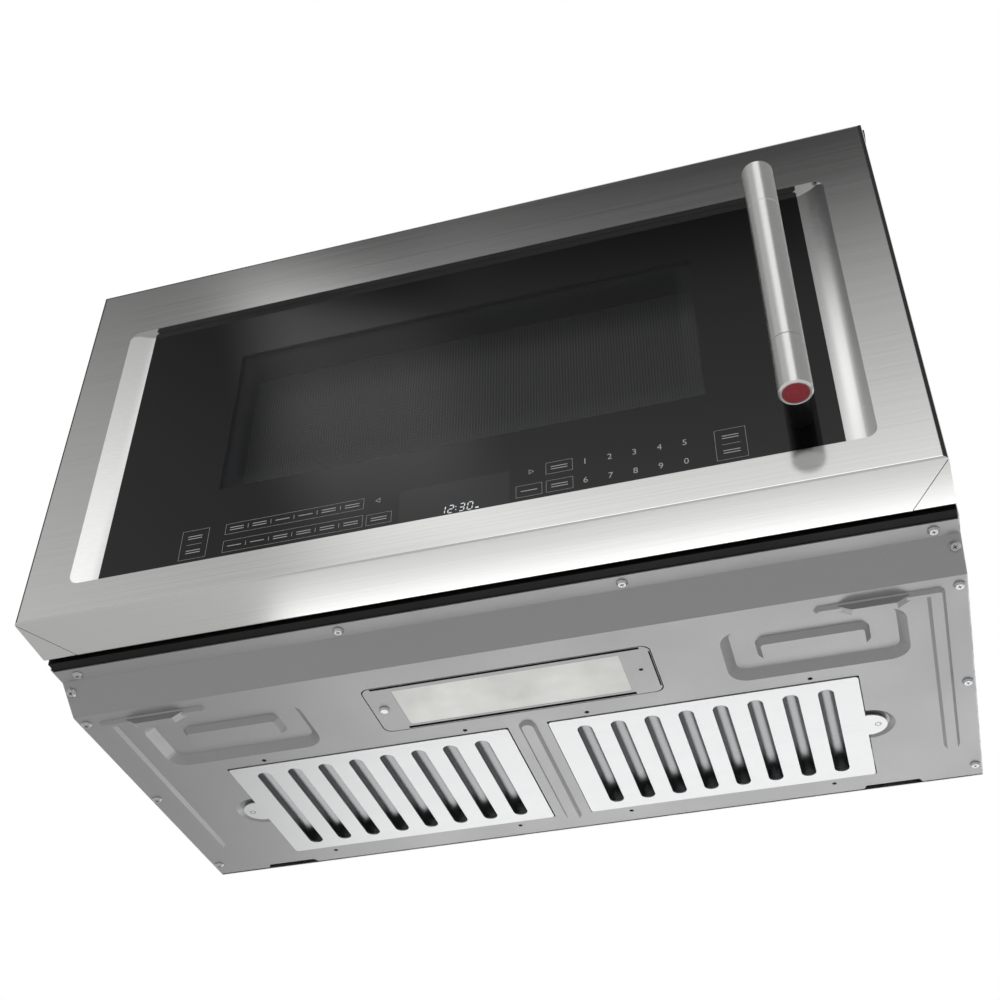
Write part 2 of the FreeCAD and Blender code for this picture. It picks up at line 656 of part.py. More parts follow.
def base_plate():
    """Embossed base sheet with a raised front strip and a chamfer."""
    inner = RIGHT - SHEET
    lower = [V(-inner, BASE_FRONT, STRIP_Z), V(-inner, SLOPE_START, STRIP_Z),
             V(-inner, SLOPE_END, BOTTOM), V(-inner, -BASE_BACK, BOTTOM)]
    upper = [point + V(0, 0, SHEET) for point in reversed(lower)]
    sheet = prism(lower + upper, V(2 * inner, 0, 0))
    emboss_skin, emboss_hollow, block_inside = plate_emboss()
    bead_skins, bead_hollows = base_beads()
    dimple = finger_dimple(SHEET, BOTTOM, BOTTOM + DIMPLE_DEEP + SHEET)
    dimple_hollow = finger_dimple(0, BOTTOM, BOTTOM + DIMPLE_DEEP)
    plate = sheet.multiFuse([emboss_skin, mirrored(emboss_skin), dimple, mirrored(dimple)] + bead_skins)
    low, high = BOTTOM - PAST, BOTTOM + 2 * DIMPLE_DEEP
    cuts = [emboss_hollow, block_inside, dimple_hollow, filter_opening(low, high), rear_notch(low, high)]
    cuts += drain_holes(low, high)
    cuts += [mirrored(tool) for tool in cuts]
    cuts += bead_hollows + base_screw_holes()
    cuts.append(lamp_outline(AIR, low, high))
    return plate.cut(cuts).removeSplitter()


def rear_panel():
    """Flat sheet against the wall, with slots for the wall plate's tabs and vents behind the fan."""
    panel = box(LEFT, RIGHT, -SHEET, 0, BOTTOM, TOP)
    front, back = -SHEET - PAST, PAST
    z = FLOOR + HOOK_RISE
    x = RIGHT - sum(NOTCH_SIDE) / 2 - HOOK_WIDTH / 2
    hook = box(x, x + HOOK_WIDTH, front, back, z, z + HOOK_HEIGHT)
    cuts = [hook, mirrored(hook)]
    for row in range(REAR_VENT_ROWS):
        for column in range(REAR_VENT_COLUMNS):
            x = FAN_X + (column - 1) * REAR_VENT_PITCH
            z = FAN_Z + (row - REAR_VENT_ROWS / 2) * REAR_VENT_PITCH / 2
            cuts.append(box(x - 10, x + 10, front, back, z, z + 3))
    return panel.cut(cuts)


def latch_slot(z, grow, y0, y1):
    """Opening that lets one latch hook pass and travel."""
    half = LATCH_THICK / 2 + grow
    return box(LATCH_X - half, LATCH_X + half, y0, y1, z - grow, z + LATCH_HEIGHT + LATCH_TRAVEL + grow)


def front_frame():
    """Black recessed frame round the oven's mouth, spot-welded from eight flat panels."""
    x = RIGHT - SHEET - FIT
    edge = x - LINER
    y0, y1 = FRAME_FACE, FRAME_BACK
    low, high = STRIP_Z + SHEET, SHELF_TOP - LINER
    shelf = box(-x, x, y0, FRONT + SHELF_BACK, high, SHELF_TOP)
    foot = box(-x, x, y0, SLOPE_START, low, low + LINER)
    cheek = box(edge, x, y0, SLOPE_START, low + LINER, high)
    over = box(-edge, edge, y0, y1, CAVITY_HIGH, high)
    under = box(-edge, edge, y0, y1, low + LINER, CAVITY_LOW)
    left = box(-edge, CAVITY_LEFT, y0, y1, CAVITY_LOW, CAVITY_HIGH)
    right = box(CAVITY_RIGHT, edge, y0, y1, CAVITY_LOW, CAVITY_HIGH)
    cuts = [latch_slot(z, 2.6, y0 - PAST, y1 + PAST) for z in LATCH_ZS] + base_screw_holes()
    return [panel.cut(cuts) for panel in (shelf, foot, cheek, mirrored(cheek), over, under, left, right)]


def arm_levels():
    """Lower and upper face of each hinge arm, and the way its pin points."""
    low = DOOR_LOW + ARM_RISE
    high = DOOR_HIGH - ARM_RISE
    return ((low, low + ARM_THICK, -1), (high - ARM_THICK, high, 1))


def door_hinges():
    """Two arms fixed to the front frame, each with the pin that the door turns on."""
    arms = []
    r = ARM_RADIUS
    pin_reach = ARM_RISE - SHEET - 3.0
    plate = FRAME_FACE - ARM_FOOT
    for low, high, way in arm_levels():
        bar = box(HINGE_X - r, HINGE_X + r, HINGE_Y, FRAME_FACE, low, high)
        eye = rod(r, V(HINGE_X, HINGE_Y, low), V(HINGE_X, HINGE_Y, high))
        neck = box(HINGE_X, HINGE_X + 2 * r, plate, FRAME_FACE, low, high)
        foot = box(HINGE_X + 1.5 * r, HINGE_X + 6 * r, plate, FRAME_FACE, low - 8, high + 8)
        start = low if way < 0 else high
        pin = rod(PIN_RADIUS, V(HINGE_X, HINGE_Y, start), V(HINGE_X, HINGE_Y, start + way * pin_reach))
        arms.append(joined([bar, eye, neck, foot, pin]))
    return arms


def vent_grille():
    """Moulded grille above the door, open from front to back between its ribs."""
    x = RIGHT - SHEET - FIT
    front = FRONT + VENT_BACK
    frame = rounded_box(-x, x, front, WRAP_FRONT, VENT_LOW, ROOF, 1.5, X_AXIS)
    pitch = VENT_SLOT + VENT_RIB
    count = int((2 * x - 2 * VENT_RIB) // pitch)
    start = -(count * pitch - VENT_RIB) / 2
    cuts = []
    for index in range(count):
        left = start + index * pitch
        cuts.append(box(left, left + VENT_SLOT, front - PAST, WRAP_FRONT + PAST,
                        VENT_LOW + VENT_SKIN, ROOF - VENT_SKIN))
    return frame.cut(cuts)


def charcoal_filter():
    """Pad of charcoal in its mesh, on the shelf under the top sheet."""
    y0, y1 = [FRONT + back for back in FILTER_PAD_BACK]
    return bevelled_box(-FILTER_PAD_HALF, FILTER_PAD_HALF, y0, y1, SHELF_TOP, ROOF - HANG, 3.0, Z_AXIS)


def cord_grommet():
    """Bush in the top sheet for the supply lead, flush above, with a collar below."""
    r = GROMMET_RADIUS
    bore = r - GROMMET_WALL
    low = SHEET - GROMMET_LONG
    neck = r - RUN
    outline = [(bore, low), (r, low), (r + 2.5, -3), (r + 2.5, 0), (neck, 0), (neck, SHEET), (bore, SHEET)]
    return turned(outline, V(GROMMET_X, GROMMET_Y, ROOF), Z_AXIS)


# ---------------------------------------------------------------- oven cavity and what is fixed to it
def panels_of(shape, regions):
    """A welded box as its flat panels, one solid for each region."""
    return [shape.common(region) for region in regions]


def oven_cavity():
    """Welded steel liner open to the front, with a front flange, floor bearing hole and wall ports."""
    t = LINER
    r = CAVITY_RADIUS
    f = CAVITY_FLANGE
    outer = rounded_box(CAVITY_LEFT - t, CAVITY_RIGHT + t, FRAME_BACK, REAR_WALL,
                        CAVITY_LOW - t, CEILING, r + t, Y_AXIS)
    inner = rounded_box(CAVITY_LEFT, CAVITY_RIGHT, FRAME_BACK - PAST, CAVITY_BACK,
                        CAVITY_LOW, CAVITY_HIGH, r, Y_AXIS)
    flange = box(CAVITY_LEFT - f, CAVITY_RIGHT + f, FRAME_BACK, FRAME_BACK + t,
                 CAVITY_LOW - f, CAVITY_HIGH + f)
    floor = V(CAVITY_X, CAVITY_MID_Y, CAVITY_LOW)
    well = rod(SPINDLE_WELL, floor - V(0, 0, 4), floor + V(0, 0, 4))
    y0, y1 = CAVITY_BACK - PAST, REAR_WALL + PAST
    holes = [rod(INTAKE_RADIUS, V(CAVITY_X, y0, CAVITY_MID_Z), V(CAVITY_X, y1, CAVITY_MID_Z))]
    for index in range(HEAT_PORTS):
        angle = 2 * math.pi * index / HEAT_PORTS
        x = CAVITY_X + HEATER_RADIUS * math.cos(angle)
        z = CAVITY_MID_Z + HEATER_RADIUS * math.sin(angle)
        holes.append(rod(HEAT_PORT_RADIUS, V(x, y0, z), V(x, y1, z)))
    liner = outer.fuse(flange).cut([inner, well, waveguide_port()] + holes)
    far = WIDTH
    y0, y1 = FRAME_BACK, FRAME_BACK + t
    x0, x1 = CAVITY_LEFT + r, CAVITY_RIGHT - r
    z0, z1 = CAVITY_LOW + r, CAVITY_HIGH - r
    return panels_of(liner, [
        box(-far, far, y0, y1, z1, far), box(-far, far, y0, y1, -far, z0),
        box(-far, CAVITY_X, y0, y1, z0, z1), box(CAVITY_X, far, y0, y1, z0, z1),
        box(-far, x0, y1, 0, -far, far), box(x1, far, y1, 0, -far, far),
        box(x0, x1, CAVITY_BACK, 0, -far, far),
        box(x0, x1, y1, CAVITY_BACK, -far, CAVITY_MID_Z), box(x0, x1, y1, CAVITY_BACK, CAVITY_MID_Z, far)])


def waveguide_port():
    y = sum(GUIDE_Y) / 2
    return box(CAVITY_RIGHT - PAST, SIDE_WALL + PAST, y - PORT_WIDTH / 2, y + PORT_WIDTH / 2,
               PORT_Z - PORT_HEIGHT / 2, PORT_Z + PORT_HEIGHT / 2)


def waveguide():
    """Rectangular duct on the cavity's right wall, open to the port and to the magnetron."""
    y0, y1 = GUIDE_Y
    t = LINER
    end = SIDE_WALL + GUIDE_X
    g = GUIDE_RIM
    outer = bevelled_box(SIDE_WALL, end, y0, y1, GUIDE_LOW, GUIDE_HIGH, wall_bevel(3.0, t), X_AXIS)
    inner = bevelled_box(SIDE_WALL - PAST, end - t, y0 + t, y1 - t, GUIDE_LOW + t, GUIDE_HIGH - t,
                         3.0, X_AXIS)
    rim = box(SIDE_WALL, SIDE_WALL + t, y0 - g, y1 + g, GUIDE_LOW - g, GUIDE_HIGH + g)
    y, z = magnetron_centre()
    hole = rod(ANTENNA_RADIUS + 3, V(SIDE_WALL, y, z), V(end + PAST, y, z))
    return outer.fuse(rim).cut([inner, hole])


def magnetron_centre():
    return sum(GUIDE_Y) / 2, GUIDE_HIGH - MAGNETRON_HEIGHT / 2 - 6


def waveguide_cover():
    """Mica sheet over the port, inside the cavity."""
    y = sum(GUIDE_Y) / 2
    half_y = PORT_WIDTH / 2 + GUIDE_RIM
    half_z = PORT_HEIGHT / 2 + GUIDE_RIM
    return bevelled_box(CAVITY_RIGHT - MICA, CAVITY_RIGHT, y - half_y, y + half_y,
                        PORT_Z - half_z, PORT_Z + half_z, 4.0, X_AXIS)


def magnetron():
    """Yoke with cooling fins round the anode, antenna towards the waveguide, filter box below."""
    y, z = magnetron_centre()
    x = SIDE_WALL + GUIDE_X
    end = x + MAGNETRON_X
    half_y = MAGNETRON_Y / 2
    half_z = MAGNETRON_HEIGHT / 2
    yoke = box(x, end, y - half_y, y + half_y, z - half_z, z + half_z)
    window = box(x + 2, end - 2, y - half_y - PAST, y + half_y + PAST, z - half_z + 2, z + half_z - 2)
    parts = [yoke.cut(window), rod(ANODE_RADIUS, V(x, y, z), V(end, y, z)),
             rod(ANTENNA_RADIUS, V(x - 16, y, z), V(x, y, z)),
             box(x + 20, end, y - half_y, y + half_y, z - half_z - 24, z - half_z)]
    pitch = MAGNETRON_X / (MAGNETRON_FINS + 1)
    for index in range(MAGNETRON_FINS):
        fin_x = x + (index + 1) * pitch
        parts.append(box(fin_x, fin_x + 1, y - half_y + 3, y + half_y - 3, z - half_z + 1, z + half_z - 1))
    return joined(parts)


def hv_transformer():
    """Laminated core with two windings, standing on the compartment's floor."""
    x = RIGHT - TRANSFORMER_SIDE
    y = FRAME_BACK + TRANSFORMER_BACK
    z = DUCT_TOP
    limb = CORE_LIMB
    slot = (CORE_X - 3 * limb) / 2
    low, middle, high = z + CORE_YOKE, z + CORE_Z / 2, z + CORE_Z - CORE_YOKE
    core = box(x, x + CORE_X, y, y + CORE_Y, z, z + CORE_Z)
    windows = [box(left, left + slot, y - PAST, y + CORE_Y + PAST, low, high)
               for left in (x + limb, x + 2 * limb + slot)]
    x0, x1 = x + limb + 2, x + CORE_X - limb - 2
    out = WINDING_OUT
    primary = bevelled_box(x0, x1, y - out, y + CORE_Y + out, low + 2, middle - 3, 6.0, Z_AXIS)
    secondary = bevelled_box(x0, x1, y - out - 2, y + CORE_Y + out + 2, middle + 1, high - 2, 6.0, Z_AXIS)
    feet = box(x - 10, x + CORE_X + 10, y + 6, y + CORE_Y - 6, z, z + 2)
    return joined([core.cut(windows), primary, secondary, feet])


def hv_capacitor():
    """Oval can with two tabs, standing on the compartment's floor."""
    x = RIGHT - CAPACITOR_SIDE
    y = CAPACITOR_Y
    top = DUCT_TOP + CAN_Z
    middle = y + CAN_Y / 2
    can = rounded_box(x, x + CAN_X, y, y + CAN_Y, DUCT_TOP, top, CAN_Y / 2 - 0.1, Z_AXIS)
    tabs = [box(left, left + 6, middle - 1, middle, top, top + 12) for left in (x + 14, x + CAN_X - 20)]
    return joined([can] + tabs)


def cooling_fan_housing():
    """Floor of the right compartment, with a wall across it, a round throat and arms for the motor."""
    x1 = RIGHT - SHEET
    y = FAN_PLATE_Y
    z = DUCT_TOP
    t = SHEET
    wall = box(SIDE_WALL, x1, y, y + LINER, z - t, DOOR_LOW + FAN_PLATE_RISE)
    floor = box(SIDE_WALL, x1, FRAME_BACK, -SHEET - FIT, z - t, z)
    cheek = box(x1 - 2 * FIT - LINER, x1 + PAST, FRAME_BACK - PAST, SLOPE_START + FIT,
                z - t - PAST, z + PAST)
    flange = box(SIDE_WALL, SIDE_WALL + t, FRAME_BACK + CAVITY_FLANGE, CAVITY_BACK, z,
                 CAVITY_LOW + CAVITY_RADIUS + 2)
    end = y + FAN_THROAT
    throat = rod(FAN_RADIUS + 6, V(FAN_X, y, FAN_Z), V(FAN_X, end, FAN_Z))
    bore = rod(FAN_RADIUS + 3, V(FAN_X, y - PAST, FAN_Z), V(FAN_X, end + PAST, FAN_Z))
    seat_y = y + FAN_MOTOR_BACK
    arms = []
    for index in range(3):
        arm = box(-4, 4, end - 2, seat_y, 20, FAN_RADIUS + 5)
        arm.rotate(V(0, 0, 0), Y_AXIS, 120 * index + 60)
        arm.translate(V(FAN_X, 0, FAN_Z))
        arms.append(arm.cut(rod(FAN_RADIUS + 1, V(FAN_X, y, FAN_Z), V(FAN_X, seat_y - 8, FAN_Z))))
    carrier = rod(24, V(FAN_X, seat_y - 4, FAN_Z), V(FAN_X, seat_y, FAN_Z))
    seat = rod(SHAFT_RADIUS + 6, V(FAN_X, seat_y - 5, FAN_Z), V(FAN_X, seat_y + PAST, FAN_Z))
    body = joined([wall, floor.cut(cheek), flange, throat]).cut([bore] + base_screw_holes())
    return joined([body] + arms + [carrier]).cut(seat)


def motor(base, axis, radius, length, shaft_radius):
    """A small motor: can with a stepped nose and a through bore for its shaft."""
    bore = shaft_radius + RUN
    outline = [(bore, 0), (radius * 0.45, 0), (radius * 0.45, 3), (radius - 2, 3), (radius, 5),
               (radius, length), (bore, length)]
    return turned(outline, base, axis)


def cooling_fan_motor():
    base = V(FAN_X, FAN_PLATE_Y + FAN_MOTOR_BACK, FAN_Z)
    return motor(base, Y_AXIS, FAN_MOTOR_RADIUS, 26.0, FAN_SHAFT_RADIUS)


def fan_blades(hub_radius, tip_radius, depth, count, twist):
    """Blades of an axial fan about the Z axis, set at an angle."""
    blades = []
    for index in range(count):
        blade = box(hub_radius - 1.5, tip_radius, -depth, depth, -0.7, 0.7)
        blade.rotate(V(0, 0, 0), X_AXIS, twist)
        blade.rotate(V(0, 0, 0), Z_AXIS, 360.0 * index / count)
        blades.append(blade)
    return blades


def cooling_fan_blade():
    """Five-bladed axial fan on its shaft."""
    hub = turned([(0, -6), (13, -6), (13, 5), (10, 7), (0, 7)], V(0, 0, 0), Z_AXIS)
    shaft = rod(FAN_SHAFT_RADIUS, V(0, 0, 0), V(0, 0, 50))
    fan = joined([hub, shaft] + fan_blades(13, FAN_RADIUS, 11, 5, 32))
    fan.Placement = FreeCAD.Placement(V(FAN_X, FAN_PLATE_Y + 9, FAN_Z), FreeCAD.Rotation(Z_AXIS, Y_AXIS))
    return fan


def convection_housing():
    """Round pan behind the cavity's rear wall."""
    r = CONVECTION_RADIUS
    d = CONVECTION_DEPTH
    t = LINER
    hole = SHAFT_RADIUS + 1.5
    outline = [(hole, d - t), (r - 4 - t, d - t), (r - t, 0), (r + 10, 0), (r + 10, t), (r, t),
               (r - 4, d), (hole, d)]
    return turned(outline, V(CAVITY_X, REAR_WALL, CAVITY_MID_Z), Y_AXIS)


def convection_heater():
    """Sheathed ring element on two posts that reach the cavity's rear wall."""
    y = REAR_WALL + CONVECTION_DEPTH / 2
    ring_radius = HEATER_RADIUS - 2
    section = []
    for step in range(6):
        angle = math.radians(60 * step)
        section.append((ring_radius + HEATER_TUBE * math.cos(angle), HEATER_TUBE * math.sin(angle)))
    ring = turned(section, V(CAVITY_X, y, CAVITY_MID_Z), Y_AXIS)
    posts = []
    for side in (-1, 1):
        x = CAVITY_X + side * ring_radius * math.sin(0.2)
        z = CAVITY_MID_Z - ring_radius * math.cos(0.2)
        posts.append(rod(2.4, V(x, REAR_WALL, z), V(x, y, z)))
    return joined([ring] + posts)


def convection_fan_blade():
    """Radial fan: back plate with straight blades, on its shaft."""
    r = CONVECTION_FAN
    disc = turned([(0, 0), (r, 0), (r, 1), (8, 1), (8, 4), (0, 4)], V(0, 0, 0), Z_AXIS)
    shaft = rod(FAN_SHAFT_RADIUS, V(0, 0, 0), V(0, 0, CONVECTION_MOTOR + 4))
    blades = []
    for index in range(8):
        blade = box(24, r - 2, -0.6, 0.6, -10, 0)
        blade.rotate(V(0, 0, 0), Z_AXIS, 45 * index)
        blades.append(blade)
    fan = joined([disc, shaft] + blades)
    place = V(CAVITY_X, REAR_WALL + CONVECTION_DEPTH - 7, CAVITY_MID_Z)
    fan.Placement = FreeCAD.Placement(place, FreeCAD.Rotation(Z_AXIS, Y_AXIS))
    return fan


def convection_motor():
    base = V(CAVITY_X, REAR_WALL + CONVECTION_DEPTH, CAVITY_MID_Z)
    return motor(base, Y_AXIS, CONVECTION_MOTOR_RADIUS, CONVECTION_MOTOR, FAN_SHAFT_RADIUS)


# ---------------------------------------------------------------- vent blower
def scroll():
    """Blower casing between the cavity's ceiling and the top sheet, open upward and at its sides."""
    t = LINER
    outer_x = OUTLET_WIDTH / 2
    inner_x = outer_x - SCROLL_WIDTH
    front = BLOWER_Y - SCROLL_RADIUS - t
    body = rounded_box(inner_x, outer_x, front, -SHEET - 6, CEILING, ROOF, 12.0, X_AXIS)
    chamber = rod(SCROLL_RADIUS, V(inner_x + t, BLOWER_Y, BLOWER_Z), V(outer_x - t, BLOWER_Y, BLOWER_Z))
    chimney = box(inner_x + t, outer_x - t, OUTLET_Y + 1, OUTLET_Y + 1 + CHIMNEY, BLOWER_Z, ROOF + PAST)
    inlets = rod(WHEEL_INNER, V(inner_x - PAST, BLOWER_Y, BLOWER_Z), V(outer_x + PAST, BLOWER_Y, BLOWER_Z))
    return body.cut([chamber, chimney, inlets])


def vent_blower_motor():
    """Motor between the scrolls, on a foot that stands on the cavity's ceiling."""
    half = OUTLET_WIDTH / 2 - SCROLL_WIDTH - 3
    left, right = V(-half, BLOWER_Y, BLOWER_Z), V(half, BLOWER_Y, BLOWER_Z)
    can = motor(left, X_AXIS, MOTOR_RADIUS, 2 * half, SHAFT_RADIUS)
    foot = box(-half + 8, half - 8, BLOWER_Y - 24, BLOWER_Y + 24, CEILING, BLOWER_Z - MOTOR_RADIUS + 12)
    return joined([can, foot.cut(rod(MOTOR_RADIUS - 1, left, right))])


def vent_wheel():
    """Squirrel-cage wheel: blades between an end ring and a back plate."""
    end = OUTLET_WIDTH / 2 - LINER - 2
    start = OUTLET_WIDTH / 2 - SCROLL_WIDTH + LINER + 2
    ring = rod(WHEEL_RADIUS, V(end - 2, 0, 0), V(end, 0, 0))
    ring = ring.cut(rod(WHEEL_INNER, V(end - 3, 0, 0), V(end + PAST, 0, 0)))
    plate = rod(WHEEL_RADIUS, V(start, 0, 0), V(start + 1.5, 0, 0))
    blades = []
    for index in range(WHEEL_BLADES):
        blade = box(start, end, -0.5, 0.5, WHEEL_INNER + 0.5, WHEEL_RADIUS - 0.5)
        blade.rotate(V(0, 0, (WHEEL_INNER + WHEEL_RADIUS) / 2), X_AXIS, 35)
        blade.rotate(V(0, 0, 0), X_AXIS, 360.0 * index / WHEEL_BLADES)
        blades.append(blade)
    return [ring, plate] + blades


def vent_blower_wheels():
    """Both wheels on the one shaft that runs through the motor."""
    wheel = vent_wheel()
    half = OUTLET_WIDTH / 2 - SCROLL_WIDTH + LINER + 5
    shaft = rod(SHAFT_RADIUS, V(-half, 0, 0), V(half, 0, 0))
    body = joined(wheel + [mirrored(piece) for piece in wheel] + [shaft])
    body.translate(V(0, BLOWER_Y, BLOWER_Z))
    return body


# ---------------------------------------------------------------- turntable
def turntable_motor():
    """Flat gear motor under the cavity's floor, its spindle hole in line with the coupler."""
    top = CAVITY_LOW - LINER
    x, y = CAVITY_X, CAVITY_MID_Y
    r = TRAY_MOTOR_RADIUS
    tall = TRAY_MOTOR_TALL
    ear = TRAY_MOTOR_EAR
    hole = SPINDLE_RADIUS + HANG
    can = turned([(0, -tall), (r, -tall), (r, 0), (hole, 0), (hole, 6 - tall), (0, 6 - tall)],
                 V(x, y, top), Z_AXIS)
    ears = rounded_box(x - ear, x + ear, y - 7, y + 7, top - 1.5, top, 6.9, Z_AXIS)
    return joined([can, ears.cut(rod(r - 5, V(x, y, top - 3), V(x, y, top + PAST)))])


def turntable_coupler():
    """Three-lobed hub that carries the tray, its spindle down into the motor."""
    x, y = CAVITY_X, CAVITY_MID_Y
    low = CAVITY_LOW + 2.0
    tall = COUPLER_TALL
    spindle = rod(SPINDLE_RADIUS, V(x, y, CAVITY_LOW - LINER - 10), V(x, y, low + 1))
    hub = turned([(0, 0), (9, 0), (9, tall - 1), (8, tall), (0, tall)], V(x, y, low), Z_AXIS)
    lobes = []
    for index in range(3):
        lobe = rounded_box(x + 4, x + 22, y - 4, y + 4, low, low + tall, 3.9, Z_AXIS)
        lobe.rotate(V(x, y, 0), Z_AXIS, 120 * index)
        lobes.append(lobe)
    return joined([spindle, hub] + lobes)


def glass_tray():
    """Round dish with a raised rim; its underside runs on the rollers."""
    low = CAVITY_LOW + 2 * ROLLER_RADIUS + 2 * HANG
    r = TRAY_RADIUS
    tall = TRAY_HEIGHT
    outline = [(0, 0), (r - 16, 0), (r, tall - 2), (r, tall), (r - 6, tall),
               (r - 18, GLASS_TRAY), (0, GLASS_TRAY)]
    return turned(outline, V(CAVITY_X, CAVITY_MID_Y, low), Z_AXIS)


def roller_angle(index):
    return 90 + 120 * index


def roller_ring():
    """Flat ring with three axles that carry the rollers."""
    z = CAVITY_LOW + ROLLER_RADIUS + HANG
    inner = ROLLER_TRACK - ROLLER_LONG / 2 - HANG
    ring = turned([(inner - 9, -1.8), (inner, -1.8), (inner, 1.8), (inner - 9, 1.8)], V(0, 0, 0), Z_AXIS)
    axles = []
    for index in range(3):
        axle = rod(AXLE_RADIUS, V(inner - 2, 0, 0), V(ROLLER_TRACK + ROLLER_LONG / 2 + 1.5, 0, 0))
        axle.rotate(V(0, 0, 0), Z_AXIS, roller_angle(index))
        axles.append(axle)
    body = joined([ring] + axles)
    body.translate(V(CAVITY_X, CAVITY_MID_Y, z))
    return body


def roller(index):
    """Wheel on one axle of the ring."""
    r = ROLLER_RADIUS
    half = ROLLER_LONG / 2
    bore = AXLE_RADIUS + RUN
    outline = [(bore, -half), (r - 1, -half), (r, -half + 1), (r, half - 1), (r - 1, half), (bore, half)]
    wheel = turned(outline, V(ROLLER_TRACK, 0, 0), X_AXIS)
    wheel.rotate(V(0, 0, 0), Z_AXIS, roller_angle(index))
    wheel.translate(V(CAVITY_X, CAVITY_MID_Y, CAVITY_LOW + ROLLER_RADIUS + HANG))
    return wheel


# ---------------------------------------------------------------- electronics and small inner parts
def power_board():
    """Circuit board with relays, a small transformer and capacitors, on four posts behind the frame."""
    x0, x1 = [RIGHT - side for side in BOARD_SIDE]
    z0, z1 = DOOR_LOW + BOARD_RISE, DOOR_HIGH - BOARD_TOP
    y = FRAME_BACK + BOARD_POST
    face = y + BOARD_THICK
    parts = [box(x0, x1, y, face, z0, z1), box(x0 + 38, x0 + 74, face, y + 30, z0 + 20, z0 + 62)]
    for x in (x0 + 5, x1 - 5):
        for z in (z0 + 5, z1 - 5):
            parts.append(rod(3.0, V(x, FRAME_BACK, z), V(x, y, z)))
    pitch = (z1 - z0 - 24) / RELAYS
    for index in range(RELAYS):
        low = z0 + 14 + index * pitch
        parts.append(box(x0 + 8, x0 + 28, face, y + 18, low, low + pitch - 6))
    for z in (z1 - 76, z1 - 54, z1 - 32):
        parts.append(rod(7.0, V(x0 + 52, face, z), V(x0 + 52, y + 22, z)))
    return joined(parts)


def interlock_bracket():
    """Angle beside the latch slots that holds the switches."""
    x = BRACKET_X
    t = BRACKET_SHEET
    low, high = LATCH_ZS[0] - 16, LATCH_ZS[1] + LATCH_HEIGHT + 20
    web = box(x, x + t, FRAME_BACK, FRAME_BACK + BRACKET_DEEP, low, high)
    flange = box(x, x + t + SWITCH_X, FRAME_BACK, FRAME_BACK + t, low, high)
    return web.fuse(flange).removeSplitter()


def interlock_switches():
    """Three snap switches on the bracket, each with its lever."""
    x = BRACKET_X + BRACKET_SHEET
    y = FRAME_BACK + LATCH_REACH
    low, high = LATCH_ZS
    switches = []
    for z in (low - 8, low + LATCH_HEIGHT, high - 2):
        body = box(x, x + SWITCH_X, y, y + SWITCH_Y, z, z + SWITCH_Z)
        lever = box(x + 3, x + 7, y - 2.5, y, z + 13, z + 15)
        switches.append(joined([body, lever]))
    return switches


def cavity_lamp():
    """Lamp holder on the cavity's right wall with its bulb outside the liner."""
    x = SIDE_WALL
    y = CAVITY_BACK - 52
    z = CAVITY_HIGH - 48
    plate = box(x, x + 1.5, y - 22, y + 22, z - 18, z + 18)
    socket = bevelled_box(x + 1.5, x + 22, y - 14, y + 14, z - 12, z + 12, 3.0, X_AXIS)
    bulb = rod(7.0, V(x + 22, y, z), V(x + 40, y, z))
    return joined([plate, socket, bulb])


# ---------------------------------------------------------------- lamp under the base
def lamp_housing():
    """Tray on the base's upper face round the lamp opening, with a lug for the cover's screw."""
    wall = AIR + 3.0
    top = FLOOR + LAMP_HOUSING_HEIGHT
    outer = lamp_outline(wall, FLOOR, top)
    inner = lamp_outline(wall - LINER, FLOOR - PAST, top - LINER)
    low = BOTTOM + LAMP_RIM + 1.0
    lug = box(LAMP_X[0] - wall + LINER / 2, LAMP_SCREW_X + 6, LAMP_MID_Y - 7, LAMP_MID_Y + 7, low, low + 3)
    place = V(LAMP_SCREW_X, LAMP_MID_Y, low)
    hole = rod(SCREW_SHANK + 0.6, place - V(0, 0, PAST), place + V(0, 0, 4))
    return outer.cut(inner).fuse(lug.cut(hole)).removeSplitter()


def lamp_leds():
    """Strip board under the housing's top, with its row of emitters."""
    top = FLOOR + LAMP_HOUSING_HEIGHT - LINER
    face = top - 1.6
    x0, x1 = LENS_X
    parts = [box(x0 + 4, x1 - 4, LAMP_MID_Y - 12, LAMP_MID_Y + 12, face, top)]
    pitch = (x1 - x0 - 40) / (LED_COUNT - 1)
    for index in range(LED_COUNT):
        x = x0 + 20 + index * pitch
        parts.append(box(x - 2.5, x + 2.5, LAMP_MID_Y - 2.5, LAMP_MID_Y + 2.5, face - 1.2, face))
    return joined(parts)


def lamp_cover():
    """Pressed cover with a turned-up rim, lens opening, screw hole and a dimple."""
    t = SHEET
    low, high = BOTTOM - PAST, BOTTOM + LENS_LEDGE
    outer = lamp_outline(0, BOTTOM, BOTTOM + LAMP_RIM)
    inner = lamp_outline(-t, BOTTOM + t, BOTTOM + LAMP_RIM + PAST)
    window = rounded_box(LENS_X[0] - FIT, LENS_X[1] + FIT, LENS_Y[0] - FIT, LENS_Y[1] + FIT,
                         low, high, 2.0, Z_AXIS)
    hole = rod(SCREW_SHANK + RUN, V(LAMP_SCREW_X, LAMP_MID_Y, low), V(LAMP_SCREW_X, LAMP_MID_Y, high))
    dimple = rod(LAMP_DIMPLE, V(LAMP_DIMPLE_X, LAMP_MID_Y, low), V(LAMP_DIMPLE_X, LAMP_MID_Y, high))
    return outer.cut([inner, window, hole, dimple])


